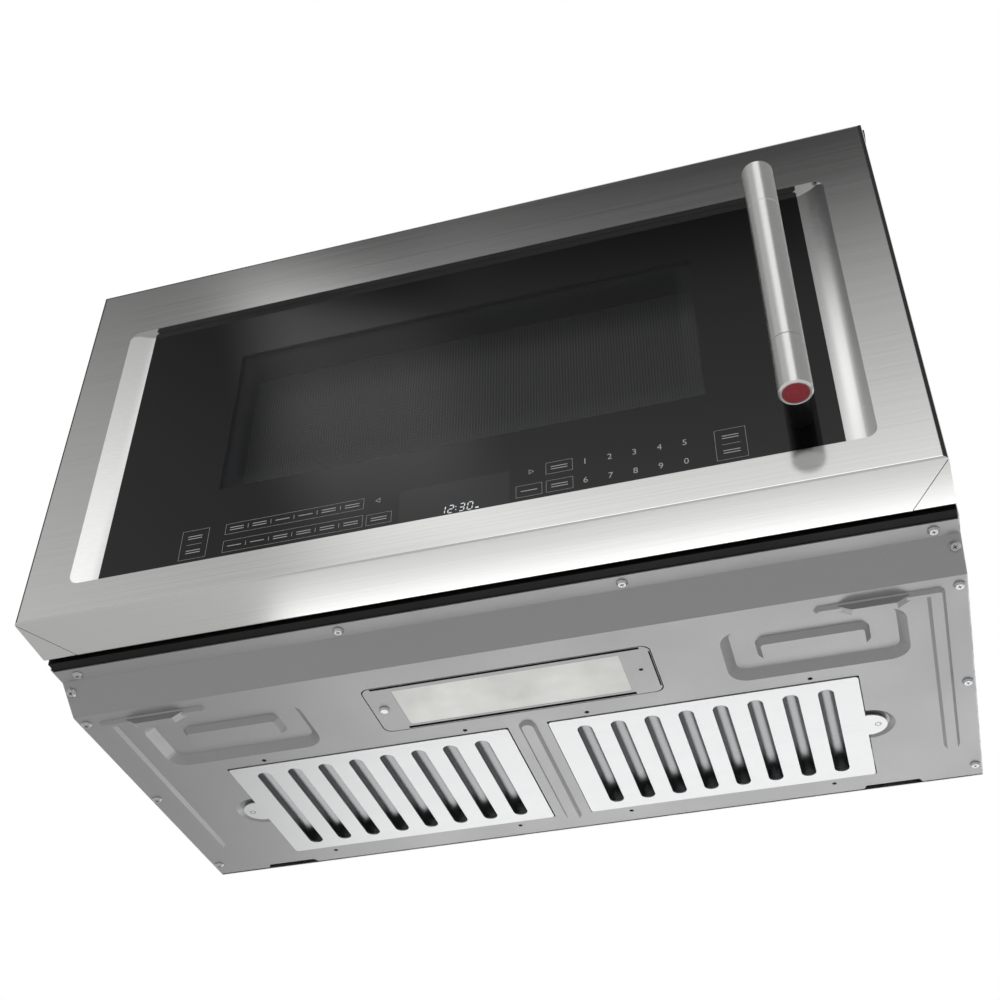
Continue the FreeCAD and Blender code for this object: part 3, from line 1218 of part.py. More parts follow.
def lamp_lens():
    """Frosted pane in the cover, its rim resting on the cover's inside."""
    x0, x1 = LENS_X
    y0, y1 = LENS_Y
    rim = LENS_LEDGE
    high = BOTTOM + LENS_THICK
    pane = rounded_box(x0, x1, y0, y1, BOTTOM + FIT, high, 2.0, Z_AXIS)
    ledge = bevelled_box(x0 - rim, x1 + rim, y0 - rim, y1 + rim, BOTTOM + SHEET, high, 2.0, Z_AXIS)
    return joined([pane, ledge])


def lamp_cover_screw():
    return pan_head_screw(V(LAMP_SCREW_X, LAMP_MID_Y, BOTTOM), Z_AXIS, SCREW_LONG + 2)


# ---------------------------------------------------------------- grease filter (mirrored for the left)
def slot_places():
    """Middle of each slot across the filter."""
    pitch = (FILTER_OUTER_X - FILTER_INNER_X - 2 * SLOT_MARGIN) / SLOT_COUNT
    return [FILTER_INNER_X + SLOT_MARGIN + (index + 0.5) * pitch for index in range(SLOT_COUNT)]


def filter_plate():
    """Slotted tray with a turned-up rim and a half-round pull tab at its outer edge."""
    x0, x1 = FILTER_INNER_X, FILTER_OUTER_X
    y0, y1 = FILTER_FRONT_Y, FILTER_BACK_Y
    t = FILTER_PLATE
    face = FILTER_LOW + t
    low, high = FILTER_LOW - PAST, face + PAST
    outer = rounded_box(x0, x1, y0, y1, FILTER_LOW, face + FILTER_RIM, FILTER_RADIUS, Z_AXIS)
    inner = rounded_box(x0 + t, x1 - t, y0 + t, y1 - t, face, face + FILTER_RIM + PAST,
                        FILTER_RADIUS - t, Z_AXIS)
    tab = rod(TAB_RADIUS, V(x1 + TAB_OUT, TAB_Y, FILTER_LOW), V(x1 + TAB_OUT, TAB_Y, face))
    tab = tab.common(box(x1 - 1, x1 + 2 * TAB_RADIUS, TAB_Y - TAB_RADIUS, TAB_Y + TAB_RADIUS, low, high))
    slots = [slot_prism(x, y0 + SLOT_END, y1 - SLOT_END, SLOT_WIDTH, low, high) for x in slot_places()]
    return outer.cut(inner).fuse(tab).removeSplitter().cut(slots)


def baffle(x, z, y0, y1):
    """Half-round channel, hollow side down."""
    r = BAFFLE_RADIUS
    s = r - BAFFLE_SHEET
    edges = [
        Part.Arc(V(x - r, y0, z), V(x, y0, z + r), V(x + r, y0, z)).toShape(),
        Part.LineSegment(V(x + r, y0, z), V(x + s, y0, z)).toShape(),
        Part.Arc(V(x + s, y0, z), V(x, y0, z + s), V(x - s, y0, z)).toShape(),
        Part.LineSegment(V(x - s, y0, z), V(x - r, y0, z)).toShape(),
    ]
    return Part.Face(Part.Wire(edges)).extrude(V(0, y1 - y0, 0))


def filter_baffles():
    """Channels over the slots, joined by a rail at each end that stands on the plate."""
    low = FILTER_LOW + FILTER_PLATE
    z = low + BAFFLE_LIFT
    y0, y1 = FILTER_FRONT_Y + FILTER_PLATE + FIT, FILTER_BACK_Y - FILTER_PLATE - FIT
    x0, x1 = FILTER_INNER_X + FILTER_RADIUS + FIT, FILTER_OUTER_X - FILTER_RADIUS - FIT
    rails = [box(x0, x1, y0, y0 + 1, low, low + FILTER_RIM), box(x0, x1, y1 - 1, y1, low, low + FILTER_RIM)]
    return joined(rails + [baffle(x, z, y0 + 0.5, y1 - 0.5) for x in slot_places()])


# ---------------------------------------------------------------- door
def door_form(inset):
    """The door's folded form, inset by the sheet's thickness for its hollow."""
    half = DOOR_HALF - inset
    y0, back = FRONT + inset, DOOR_BACK - inset
    low, high = DOOR_LOW + inset, DOOR_HIGH - inset
    plan = prism([V(-half + DOOR_DRAFT, y0, low), V(half - DOOR_DRAFT, y0, low),
                  V(half, back, low), V(-half, back, low)], V(0, 0, high - low))
    folds = [edge for edge in edges_along(plan, Z_AXIS) if edge.CenterOfMass.y < y0 + 1]
    plan = plan.makeFillet(DOOR_SIDE_FOLD - inset, folds)
    side = box(-half, half, y0, back, low, high)
    for y, z, radius in ((y0, high, DOOR_TOP_FOLD), (y0, low, DOOR_LOW_FOLD), (back, low, DOOR_BACK_FOLD)):
        folds = [edge for edge in edges_along(side, X_AXIS)
                 if edge.CenterOfMass.distanceToPoint(V(0, y, z)) < 0.3]
        side = side.makeFillet(radius - inset, folds)
    return plan.common(side)


def scoop(grow, front):
    """Recess form grown by a distance: concave sides down to the glass, straight top and bottom."""
    half = RECESS_HALF + grow
    low, high = RECESS_LOW - grow, RECESS_HIGH + grow
    y = FRONT + RECESS_DEPTH + grow
    middle = (half + GLASS_HALF) / 2
    sag = FRONT + SCOOP_SAG * (RECESS_DEPTH + grow) + 0.3 * grow
    ahead = FRONT - 2 * PAST
    left = [V(-half, FRONT, low), V(-middle, sag, low), V(-GLASS_HALF, y, low)]
    right = [V(GLASS_HALF, y, low), V(middle, sag, low), V(half, FRONT, low)]
    rim = [right[2], V(half, ahead, low), V(-half, ahead, low), left[0]]
    glass = Part.LineSegment(left[2], right[0])
    edges = [Part.Arc(*left).toShape(), glass.toShape(), Part.Arc(*right).toShape()]
    edges += [Part.LineSegment(start, end).toShape() for start, end in zip(rim, rim[1:])]
    plan = Part.Face(Part.Wire(edges)).extrude(V(0, 0, high - low))
    return plan.common(rounded_box(-half, half, front, y + PAST, low, high, RECESS_RADIUS + grow, Y_AXIS))


def glass_outline(clear, y0, y1):
    """Rectangle of the door glass with round corners."""
    x = GLASS_HALF - clear
    return rounded_box(-x, x, y0, y1, RECESS_LOW + clear, RECESS_HIGH - clear, GLASS_RADIUS - clear, Y_AXIS)


def mitre_slits():
    """Thin slits where the folded flanges meet at the corners."""
    slits = []
    run = V(MITRE_RUN, DOOR_DEPTH - 4, 0)
    across = V(-run.y, run.x, 0).normalize() * (MITRE_SLIT / 2)
    start = V(-DOOR_HALF + DOOR_DRAFT + MITRE_SLIT, FRONT + 4, 0)
    end = start + run * 1.04
    for z in (DOOR_LOW - PAST, DOOR_HIGH - SHEET - 0.5):
        up = V(0, 0, z)
        outline = [start - across + up, end - across + up, end + across + up, start + across + up]
        slit = prism(outline, V(0, 0, 2.5))
        slits += [slit, mirrored(slit)]
    return slits


def door_frame():
    """Stainless door skin: folded sheet, scooped recess, glass opening, turned-in lips."""
    t = SHEET
    x = DOOR_HALF - DOOR_LIP - 2
    mouth = box(-x, x, DOOR_BACK - 4, DOOR_BACK + PAST, DOOR_LOW + DOOR_LIP, DOOR_HIGH - DOOR_LIP)
    shell = door_form(0).cut([door_form(t), mouth])
    cuts = [scoop(0, FRONT - PAST), glass_outline(0, FRONT - PAST, GLASS_BACK + 3)] + mitre_slits()
    for low, high, _ in arm_levels():
        cuts.append(box(LEFT - PAST, HINGE_X + ARM_RADIUS + 1.2, HINGE_Y - ARM_RADIUS - 4, DOOR_BACK + PAST,
                        low - 2.2, high + 2.2))
    return shell.fuse(scoop(t, FRONT)).removeSplitter().cut(cuts)


def handle_screw_holes(radius, y0, y1):
    return [rod(radius, V(HANDLE_X, y0, z), V(HANDLE_X, y1, z)) for z in STANDOFF_ZS]


def door_glass():
    """Tinted pane in the recess, drilled for the handle's two screws."""
    pane = glass_outline(FIT, GLASS_FRONT, GLASS_BACK)
    return pane.cut(handle_screw_holes(HANDLE_SCREW + 0.5, GLASS_FRONT - PAST, GLASS_BACK + PAST))


def glass_carrier():
    """Frame behind the glass: flat bars round the window and the board, and eight posts."""
    x = DOOR_HALF - DOOR_LIP - 4
    z0, z1 = DOOR_LOW + 8, DOOR_HIGH - 8
    back = GLASS_BACK + CARRIER
    y0, y1 = GLASS_BACK - PAST, back + PAST
    wide, side = WINDOW_HALF + WINDOW_LAP, CONTROL_HALF + 1
    window_low, window_high = WINDOW_LOW - WINDOW_LAP, WINDOW_HIGH + WINDOW_LAP
    board_low = DOOR_LOW + CONTROL_RISE - 1
    board_high = board_low + CONTROL_HEIGHT + 2
    sheet = bevelled_box(-x, x, GLASS_BACK, back, z0, z1, 4.0, Y_AXIS)
    sheet = sheet.cut(handle_screw_holes(HANDLE_SCREW_HEAD + 1.5, y0, y1))
    far = WIDTH
    bars = panels_of(sheet, [
        box(-far, -side, y0, y1, -far, far), box(side, far, y0, y1, -far, far),
        box(-side, side, y0, y1, window_high, far), box(-side, side, y0, y1, -far, board_low),
        box(-side, side, y0, y1, board_high, window_low),
        box(-side, -wide, y0, y1, window_low, window_high), box(wide, side, y0, y1, window_low, window_high)])
    half = POST / 2
    posts = [box(px - half, px + half, back, PANEL_FRONT, pz - half, pz + half)
             for px in (-x + 7, -x / 3, x / 3, x - 7) for pz in (z0 + 11, z1 - 11)]
    return bars + posts


def control_board():
    """Touch board bonded to the back of the glass, with its display module and connector."""
    y = GLASS_BACK
    face = y + CONTROL_BOARD
    z = DOOR_LOW + CONTROL_RISE
    half = DISPLAY_WIDTH / 2
    board = box(-CONTROL_HALF, CONTROL_HALF, y, face, z, z + CONTROL_HEIGHT)
    display = box(DISPLAY_X - half, DISPLAY_X + half, face, y + 9, z + 3, z + 3 + DISPLAY_HEIGHT)
    plug = box(CONTROL_HALF - 60, CONTROL_HALF - 34, face, y + 10, z + 8, z + 20)
    return joined([board, display, plug])


def pan_box(inset, y0, y1, bevel):
    """A box that follows the inner pan's outline, inset from it."""
    return bevelled_box(PAN_LEFT + inset, PAN_RIGHT - inset, y0, y1,
                        PAN_LOW + inset, PAN_HIGH - inset, bevel, Y_AXIS)


def hinge_blocks():
    """Blocks at the door's hinge side with a bore for each pin."""
    low_arm, high_arm = arm_levels()
    room = SHEET + FIT
    blocks = []
    for start, end in ((DOOR_LOW + room, low_arm[0] - HANG), (high_arm[1] + HANG, DOOR_HIGH - room)):
        block = box(HINGE_X - 3.4, HINGE_X + 13, HINGE_Y - 8, PANEL_BACK - FIT, start, end)
        if start < low_arm[0]:
            fold = [edge for edge in edges_along(block, X_AXIS)
                    if edge.CenterOfMass.y > HINGE_Y and edge.CenterOfMass.z < start + 1]
            block = block.makeFillet(DOOR_BACK_FOLD - room, fold)
        bore = rod(PIN_RADIUS + RUN, V(HINGE_X, HINGE_Y, start - PAST), V(HINGE_X, HINGE_Y, end + PAST))
        blocks.append(block.cut(bore))
    return blocks


def door_inner_panel():
    """Inner door body: rear sheet, pressed-forward pan with the window, choke wall and hinge bores."""
    t = LINER
    x = DOOR_HALF - DOOR_LIP + 0.5
    sheet = box(-x, x, PANEL_FRONT, PANEL_BACK, DOOR_LOW + DOOR_LIP - 3, DOOR_HIGH - DOOR_LIP + 3)
    pan = pan_box(-t, PAN_FRONT, PANEL_BACK, wall_bevel(5.0, t))
    hollow = pan_box(0, PAN_FRONT + t, PANEL_BACK + PAST, 5.0)
    wall = pan_box(CHOKE, PAN_FRONT, PANEL_FRONT, wall_bevel(3.0, t))
    inside = pan_box(CHOKE + t, PAN_FRONT - PAST, PANEL_FRONT + PAST, 3.0)
    window = bevelled_box(-WINDOW_HALF + 1, WINDOW_HALF - 1, PAN_FRONT - PAST, PAN_FRONT + t + PAST,
                          WINDOW_LOW + 1, WINDOW_HIGH - 1, 3.0, Y_AXIS)
    body = sheet.fuse(pan).cut(hollow).fuse(wall.cut(inside)).removeSplitter()
    slots = [latch_slot(z, 1.2, PANEL_FRONT - PAST, PANEL_BACK + PAST) for z in LATCH_ZS]
    return body.cut([window] + slots).fuse(hinge_blocks()).removeSplitter()


def door_screen():
    """Perforated screen over the pan's window, on its cavity side."""
    y = PAN_FRONT + LINER
    wide = WINDOW_HALF + WINDOW_LAP
    right = min(wide, PAN_RIGHT - CHOKE - LINER - 1)
    return bevelled_box(-wide, right, y, y + SCREEN,
                        WINDOW_LOW - WINDOW_LAP, WINDOW_HIGH + WINDOW_LAP, 4.0, Y_AXIS)


def door_inner_window():
    """Clear pane that closes the pan towards the oven."""
    return pan_box(CHOKE + LINER + FIT, PANEL_FRONT - PANE, PANEL_FRONT, 3.0)


def choke_cover():
    """Plastic ring over the choke channel."""
    ring = pan_box(FIT, PANEL_FRONT, PANEL_BACK + 0.6, 5.0)
    return ring.cut(pan_box(CHOKE + 9, PANEL_FRONT - PAST, PANEL_BACK + 2, 4.0))


def latch_hooks():
    """Sliding bar inside the door with two hooks that reach through the front frame."""
    x = LATCH_X - LATCH_THICK / 2
    tip = FRAME_FACE + LATCH_REACH
    y = PANEL_FRONT - HANG - LATCH_BAR
    root = y + LATCH_BAR / 2
    low, high = LATCH_ZS
    parts = [box(x, x + LATCH_THICK + 5, y, y + LATCH_BAR, low - 10, high + LATCH_HEIGHT + 10)]
    for z in LATCH_ZS:
        top = z + LATCH_HEIGHT
        outline = [V(x, root, z), V(x, tip - 5, z), V(x, tip, z + 4), V(x, tip, z + 8), V(x, tip - 5, top),
                   V(x, tip - 8, top), V(x, tip - 8, top - 4), V(x, root, top - 4)]
        parts.append(prism(outline, V(LATCH_THICK, 0, 0)))
    return joined(parts)


def latch_spring():
    """Closed coil under the latch bar, made as a plain sleeve."""
    y = PANEL_FRONT - HANG - LATCH_BAR / 2
    high = LATCH_ZS[0] - 10 - HANG
    outline = [(2.2, -SPRING_LONG), (3.2, -SPRING_LONG), (3.2, 0), (2.2, 0)]
    return turned(outline, V(LATCH_X + 1, y, high), Z_AXIS)


# ---------------------------------------------------------------- handle
def handle_tube():
    """Middle tube with a spigot at each end that goes into the ferrules."""
    r = HANDLE_RADIUS
    s = HANDLE_BORE - FIT
    a = FERRULE
    b = HANDLE_HIGH - HANDLE_LOW - FERRULE
    k = HANDLE_SPIGOT
    outline = [(s - 2.5, a - k), (s, a - k), (s, a), (r, a), (r, b), (s, b), (s, b + k), (s - 2.5, b + k)]
    return turned(outline, V(HANDLE_X, HANDLE_Y, HANDLE_LOW), Z_AXIS)


def ferrule(base, axis):
    """End sleeve: open towards the tube, with a seat for its cap at the outer end."""
    r = HANDLE_RADIUS
    seat = CAP_RADIUS + FIT
    end = FERRULE - HANG
    deep = FERRULE - HANDLE_SPIGOT - 2
    outline = [(0, CAP_THICK), (seat, CAP_THICK), (seat, 0), (r - HANDLE_CHAMFER, 0), (r, HANDLE_CHAMFER),
               (r, end - 0.5), (r - 0.5, end), (HANDLE_BORE, end), (HANDLE_BORE, deep), (0, deep)]
    return turned(outline, base, axis)


def handle_ends(make):
    """The same piece at both ends of the handle, each facing outward."""
    low, high = V(HANDLE_X, HANDLE_Y, HANDLE_LOW), V(HANDLE_X, HANDLE_Y, HANDLE_HIGH)
    return [make(low, Z_AXIS), make(high, -Z_AXIS)]


def handle_ferrules():
    holes = handle_screw_holes(HANDLE_SCREW + RUN, HANDLE_Y, FRONT)
    return [end.cut(hole) for end, hole in zip(handle_ends(ferrule), holes)]


def handle_standoffs():
    """Round posts from the glass to the ferrules, their ends hollowed to the bar's curve."""
    bar = rod(HANDLE_RADIUS + RUN / 3, V(HANDLE_X, HANDLE_Y, HANDLE_LOW), V(HANDLE_X, HANDLE_Y, HANDLE_HIGH))
    posts = []
    for z in STANDOFF_ZS:
        post = rod(STANDOFF_RADIUS, V(HANDLE_X, HANDLE_Y, z), V(HANDLE_X, GLASS_FRONT, z)).cut(bar)
        posts.append(post.cut(handle_screw_holes(HANDLE_SCREW + RUN, HANDLE_Y, GLASS_FRONT + PAST)))
    return posts


def handle_screws():
    """Screws from behind the glass into the ferrules."""
    head = HANDLE_SCREW_HEAD
    shank = HANDLE_SCREW
    long = GLASS_BACK - HANDLE_Y - 2
    outline = [(0, -long), (shank, -long), (shank, 0), (head, 0), (head, 2), (head - 2, 3.4), (0, 3.4)]
    return [turned(outline, V(HANDLE_X, GLASS_BACK, z), Y_AXIS) for z in STANDOFF_ZS]


def end_cap(base, axis):
    """Medallion turned with a shallow dish inside its rim."""
    r = CAP_RADIUS
    outline = [(0, 0.9), (r - 1.2, 0.9), (r - 0.9, 0.2), (r, 0.2), (r, CAP_THICK), (0, CAP_THICK)]
    return turned(outline, base, axis)


# ---------------------------------------------------------------- every node
os.makedirs("parts", exist_ok=True)
FACETS = [
    save("outer_wrap", outer_wrap()),
    save("base_plate", base_plate()),
    save("rear_panel", rear_panel()),
    save("front_frame", *front_frame()),
    save("door_hinges", *door_hinges()),
    save("vent_grille", vent_grille()),
    save("charcoal_filter", charcoal_filter()),
    save("cord_grommet", cord_grommet()),
    save("base_screws", *base_screws()),
    save("oven_cavity", *oven_cavity()),
    save("waveguide", waveguide()),
    save("waveguide_cover", waveguide_cover()),
    save("magnetron", magnetron()),
    save("hv_transformer", hv_transformer()),
    save("hv_capacitor", hv_capacitor()),
    save("cooling_fan_housing", cooling_fan_housing()),
    save("cooling_fan_motor", cooling_fan_motor()),
    save("cooling_fan_blade", cooling_fan_blade()),
    save("convection_housing", convection_housing()),
    save("convection_heater", convection_heater()),
    save("convection_motor", convection_motor()),
    save("convection_fan_blade", convection_fan_blade()),
    save("vent_blower_housing", mirrored(scroll()), scroll()),
    save("vent_blower_motor", vent_blower_motor()),
    save("vent_blower_wheels", vent_blower_wheels()),
    save("turntable_motor", turntable_motor()),
    save("turntable_coupler", turntable_coupler()),
    save("glass_tray", glass_tray()),
    save("roller_ring", roller_ring()),
    save("roller_1", roller(0)),
    save("roller_2", roller(1)),
    save("roller_3", roller(2)),
    save("power_board", power_board()),
    save("interlock_bracket", interlock_bracket()),
    save("interlock_switches", *interlock_switches()),
    save("cavity_lamp", cavity_lamp()),
    save("lamp_housing", lamp_housing()),
    save("lamp_leds", lamp_leds()),
    save("lamp_cover", lamp_cover()),
    save("lamp_lens", lamp_lens()),
    save("lamp_cover_screw", lamp_cover_screw()),
    save("filter_plate_right", filter_plate()),
    save("filter_plate_left", mirrored(filter_plate())),
    save("filter_baffles_right", filter_baffles()),
    save("filter_baffles_left", mirrored(filter_baffles())),
    save("door_frame", door_frame()),
    save("door_glass", door_glass()),
    save("glass_carrier", *glass_carrier()),
    save("control_board", control_board()),
    save("door_inner_panel", door_inner_panel()),
    save("door_screen", door_screen()),
    save("door_inner_window", door_inner_window()),
    save("choke_cover", choke_cover()),
    save("latch_hooks", latch_hooks()),
    save("latch_spring", latch_spring()),
    save("handle_tube", handle_tube()),
    save("handle_ferrules", *handle_ferrules()),
    save("handle_standoffs", *handle_standoffs()),
    save("handle_screws", *handle_screws()),
    save("handle_end_caps", *handle_ends(end_cap)),
]
print(f"{len(FACETS)} nodes, {sum(FACETS)} facets")
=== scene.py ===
# %% [markdown]
# # An over-the-range microwave, dressed
#
# The oven's construction is loaded as a fixed frame of real parts in metres.
# This file gives each part its finish and adds what is too fine for the
# construction: the printing on the glass, the crosses in the screws, a dimple on
# each filter tab and black strips of painted shadow round the lamp cover. Where it
# can be, a place is read from the frame instead of fitted by eye.

# %% Load the frame
import bpy
import json
import math
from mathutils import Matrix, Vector


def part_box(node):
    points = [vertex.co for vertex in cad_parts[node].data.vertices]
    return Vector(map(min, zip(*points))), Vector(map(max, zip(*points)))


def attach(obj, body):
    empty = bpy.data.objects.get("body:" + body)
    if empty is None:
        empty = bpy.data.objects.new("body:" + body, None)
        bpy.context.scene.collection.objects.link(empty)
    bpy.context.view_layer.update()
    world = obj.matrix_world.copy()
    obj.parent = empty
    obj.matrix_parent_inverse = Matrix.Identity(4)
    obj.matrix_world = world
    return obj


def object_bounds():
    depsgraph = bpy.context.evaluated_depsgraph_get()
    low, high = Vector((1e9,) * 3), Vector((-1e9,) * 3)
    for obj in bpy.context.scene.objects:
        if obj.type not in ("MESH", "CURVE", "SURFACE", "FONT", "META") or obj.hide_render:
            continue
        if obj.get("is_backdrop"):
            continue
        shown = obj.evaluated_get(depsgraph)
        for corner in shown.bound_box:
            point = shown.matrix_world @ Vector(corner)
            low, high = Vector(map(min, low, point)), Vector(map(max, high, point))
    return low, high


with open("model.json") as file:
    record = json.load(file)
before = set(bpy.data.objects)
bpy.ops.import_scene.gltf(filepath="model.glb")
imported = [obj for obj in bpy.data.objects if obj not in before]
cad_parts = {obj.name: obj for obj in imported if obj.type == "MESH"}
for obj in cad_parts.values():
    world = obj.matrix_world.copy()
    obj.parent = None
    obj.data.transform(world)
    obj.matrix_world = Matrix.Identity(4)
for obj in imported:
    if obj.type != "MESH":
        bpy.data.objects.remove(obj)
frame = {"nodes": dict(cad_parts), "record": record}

cad_box = [list(corner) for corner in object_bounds()]
parts = frame["nodes"]
MM = 0.001

# %% [markdown]
# ## The camera
#
# The photograph was taken from below and a little to the right of the middle,
# looking up at the door and the underside. The camera's place, its turn and its
# lens were solved from the straight edges of the door, so the frame lands on the
# photograph's outline. A turn of 130.8 degrees about X tips the view 40.8 degrees
# above the horizon.

# %% Camera
CAMERA_PLACE = Vector((288.2, -1241.9, -895.1)) * MM
CAMERA_TURN = [math.radians(angle) for angle in (130.804, -0.485, 16.338)]
FOCAL_LENGTH = 51.93      # mm, on a sensor 36 mm wide

camera_data = bpy.data.cameras.new("camera")
camera_data.sensor_width = 36.0
camera_data.lens = FOCAL_LENGTH
camera = bpy.data.objects.new("camera", camera_data)
camera.location = CAMERA_PLACE
camera.rotation_euler = CAMERA_TURN
bpy.context.scene.collection.objects.link(camera)
bpy.context.scene.camera = camera
bpy.context.scene.view_settings.view_transform = "Standard"
print("camera at", [round(v, 3) for v in camera.location])

# %% [markdown]
# ## Two helpers for materials
#
# Colours are written as the hex values that a screen shows. A renderer works
# with light, so one function turns them into linear values. A second function
# adds a shader node: its settings first, then its inputs, where a socket is
# linked and any other value is set on the input itself.

# %% Colour and node helpers
def linear(hex_colour):
    """An sRGB hex colour as linear red, green, blue and alpha."""
    channels = [int(hex_colour[i:i + 2], 16) / 255 for i in (1, 3, 5)]
    return [c / 12.92 if c <= 0.04045 else ((c + 0.055) / 1.055) ** 2.4 for c in channels] + [1.0]


def add(tree, kind, settings=None, inputs=None):
    """Adds one node with its settings, and links or sets its inputs."""
    node = tree.nodes.new("ShaderNode" + kind)
    for name, value in (settings or {}).items():
        setattr(node, name, value)
    for name, value in (inputs or {}).items():
        if isinstance(value, bpy.types.NodeSocket):
            tree.links.new(value, node.inputs[name])
        else:
            node.inputs[name].default_value = value
    return node


def new_material(name):
    """An empty material; gives it and its node tree."""
    material = bpy.data.materials.new(name)
    material.use_nodes = True
    material.node_tree.nodes.clear()
    return material, material.node_tree


dressed = set()


def dress(material, *names):
    """Gives a finish to parts of the frame."""
    for name in names:
        for slot in parts[name].material_slots:
            slot.link = "OBJECT"
            slot.material = material
        dressed.add(name)


print("white is", [round(v, 3) for v in linear("#ffffff")[:3]])

# %% [markdown]
# ## The studio
#
# Satin steel has hardly any colour of its own: it shows what stands round it.
# The room is therefore built first. The floor lies well below the oven, as a
# cooktop's would. The background is plain white to the camera and to see-through
# rays, while matt surfaces are lit by a softer level, so that a colour comes out
# about as it is written. Shiny pieces see large soft cards instead: light low
# down, fading to dark high up, one fade in front, one a little to the left and
# one far to the left, and dark cards at the sides. The world's texture
# coordinate is the direction of a ray, so each card is a fade along the upward
# part of that direction. A card over the floor behind the oven lights the
# underside.

# %% A soft card
PEAK = 2.0                    # the brightest level; a ramp's colours stop at 1


def card(tree, height, stops):
    """How bright a card is; each stop is a height, 0 at the horizon and 1 overhead, and a level."""
    node = add(tree, "ValToRGB", {}, {0: height})
    ramp = node.color_ramp
    ramp.elements.remove(ramp.elements[1])
    for i, (place, level) in enumerate(stops):
        stop = ramp.elements[0] if i == 0 else ramp.elements.new(place)
        stop.position = place
        stop.color = [level / PEAK] * 3 + [1.0]
    return add(tree, "Math", {"operation": "MULTIPLY"}, {0: node.outputs[0], 1: PEAK}).outputs[0]


print("a card's brightest level:", PEAK)

# %% Levels of the cards
FRONT_FADE = ((0.0, 1.3), (0.10, 2.0), (0.45, 2.0), (0.60, 1.40), (0.635, 1.25), (0.65, 1.03),
              (0.68, 0.82), (0.705, 0.67), (0.728, 0.58), (0.75, 0.42), (0.772, 0.18), (0.79, 0.06),
              (0.80, 0.02), (0.93, 0.0), (1.0, 0.8))
NEAR_LEFT_FADE = ((0.0, 1.0), (0.617, 0.96), (0.634, 0.98), (0.66, 1.4), (0.69, 1.65), (0.71, 1.6),
                  (0.735, 1.1), (0.747, 0.36), (0.754, 0.18), (0.762, 0.05), (0.77, 0.0), (0.93, 0.0),
                  (1.0, 0.8))
LEFT_FADE = ((0.0, 0.75), (0.50, 0.8), (0.56, 0.70), (0.66, 0.46), (0.72, 0.26), (0.78, 0.05),
             (0.93, 0.05), (1.0, 0.8))
SIDE_FADE = ((0.0, 0.9), (0.34, 0.6), (0.50, 0.04), (0.93, 0.04), (1.0, 0.8))
BEHIND = ((0.0, 1.0),)
# Each card covers those before it where the direction's part along X or Y passes from the first
# value, where the card starts to show, to the second, where it is all that shows
COVERS = ((NEAR_LEFT_FADE, (("X", -0.20, -0.27),)),
          (LEFT_FADE, (("X", -0.32, -0.38),)),
          (SIDE_FADE, (("X", 0.22, 0.38), ("Y", -0.42, -0.25))),
          (BEHIND, (("Y", 0.3, 0.5),)))
print("cards:", 1 + len(COVERS))

# %% World
ROOM_LIGHT = 0.55             # level that lights matt surfaces

world = bpy.data.worlds.new("studio")
bpy.context.scene.world = world
world.use_nodes = True
tree = world.node_tree
tree.nodes.clear()
ray = add(tree, "TexCoord")
aim = add(tree, "SeparateXYZ", {}, {0: ray.outputs["Generated"]}).outputs
mirrored = card(tree, aim["Z"], FRONT_FADE)
for stops, edges in COVERS:
    share = 0.0
    for axis, start, end in edges:
        edge = add(tree, "MapRange", {"interpolation_type": "SMOOTHSTEP"},
                   {"Value": aim[axis], "From Min": start, "From Max": end})
        share = add(tree, "Math", {"operation": "MAXIMUM"}, {0: share, 1: edge.outputs[0]}).outputs[0]
    mirrored = add(tree, "Mix", {"data_type": "FLOAT"},
                   {"Factor": share, 2: mirrored, 3: card(tree, aim["Z"], stops)}).outputs[0]
path = add(tree, "LightPath")
plain = add(tree, "Math", {"operation": "MAXIMUM"},
            {0: path.outputs["Is Camera Ray"], 1: path.outputs["Is Transmission Ray"]})
level = add(tree, "MapRange", {}, {"Value": plain.outputs[0], "To Min": ROOM_LIGHT, "To Max": 1.0})
level = add(tree, "Mix", {"data_type": "FLOAT"},
            {"Factor": path.outputs["Is Glossy Ray"], 2: level.outputs[0], 3: mirrored})
sky = add(tree, "Background", {}, {"Color": linear("#ffffff"), "Strength": level.outputs[0]})
add(tree, "OutputWorld", {}, {"Surface": sky.outputs[0]})
print("room light", ROOM_LIGHT, "and the front fade's levels", [level for _, level in FRONT_FADE])

# %% [markdown]
# ## Floor and lamps
#
# The floor is one large square of pale matt paint, and it keeps the oven's
# shadow. It is clear from below, so that a view from under it still shows the
# oven. Two large soft lamps stand high in front and behind. A third lies low
# behind the oven, faces up and shows in shiny pieces, as the lit top of a
# cooktop would.

# %% Floor
FLOOR_DROP = 1.25         # floor below the oven's middle, metres
FLOOR_HALF = 6.0          # half of its side, metres

mesh = bpy.data.meshes.new("floor")
mesh.from_pydata([(x * FLOOR_HALF, y * FLOOR_HALF, -FLOOR_DROP)
                  for x, y in ((-1, -1), (1, -1), (1, 1), (-1, 1))], [], [(0, 1, 2, 3)])
floor = bpy.data.objects.new("floor", mesh)
bpy.context.scene.collection.objects.link(floor)
material, tree = new_material("pale painted floor")
shade = add(tree, "BsdfPrincipled", {}, {"Base Color": linear("#e6e6e4"), "Roughness": 0.8})
facing = add(tree, "NewGeometry")
unseen = add(tree, "BsdfTransparent")
one_sided = add(tree, "MixShader", {},
                {0: facing.outputs["Backfacing"], 1: shade.outputs[0], 2: unseen.outputs[0]})
add(tree, "OutputMaterial", {}, {"Surface": one_sided.outputs[0]})
floor.data.materials.append(material)
floor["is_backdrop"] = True
print("floor", FLOOR_DROP, "m below the oven's middle, clear when seen from below")

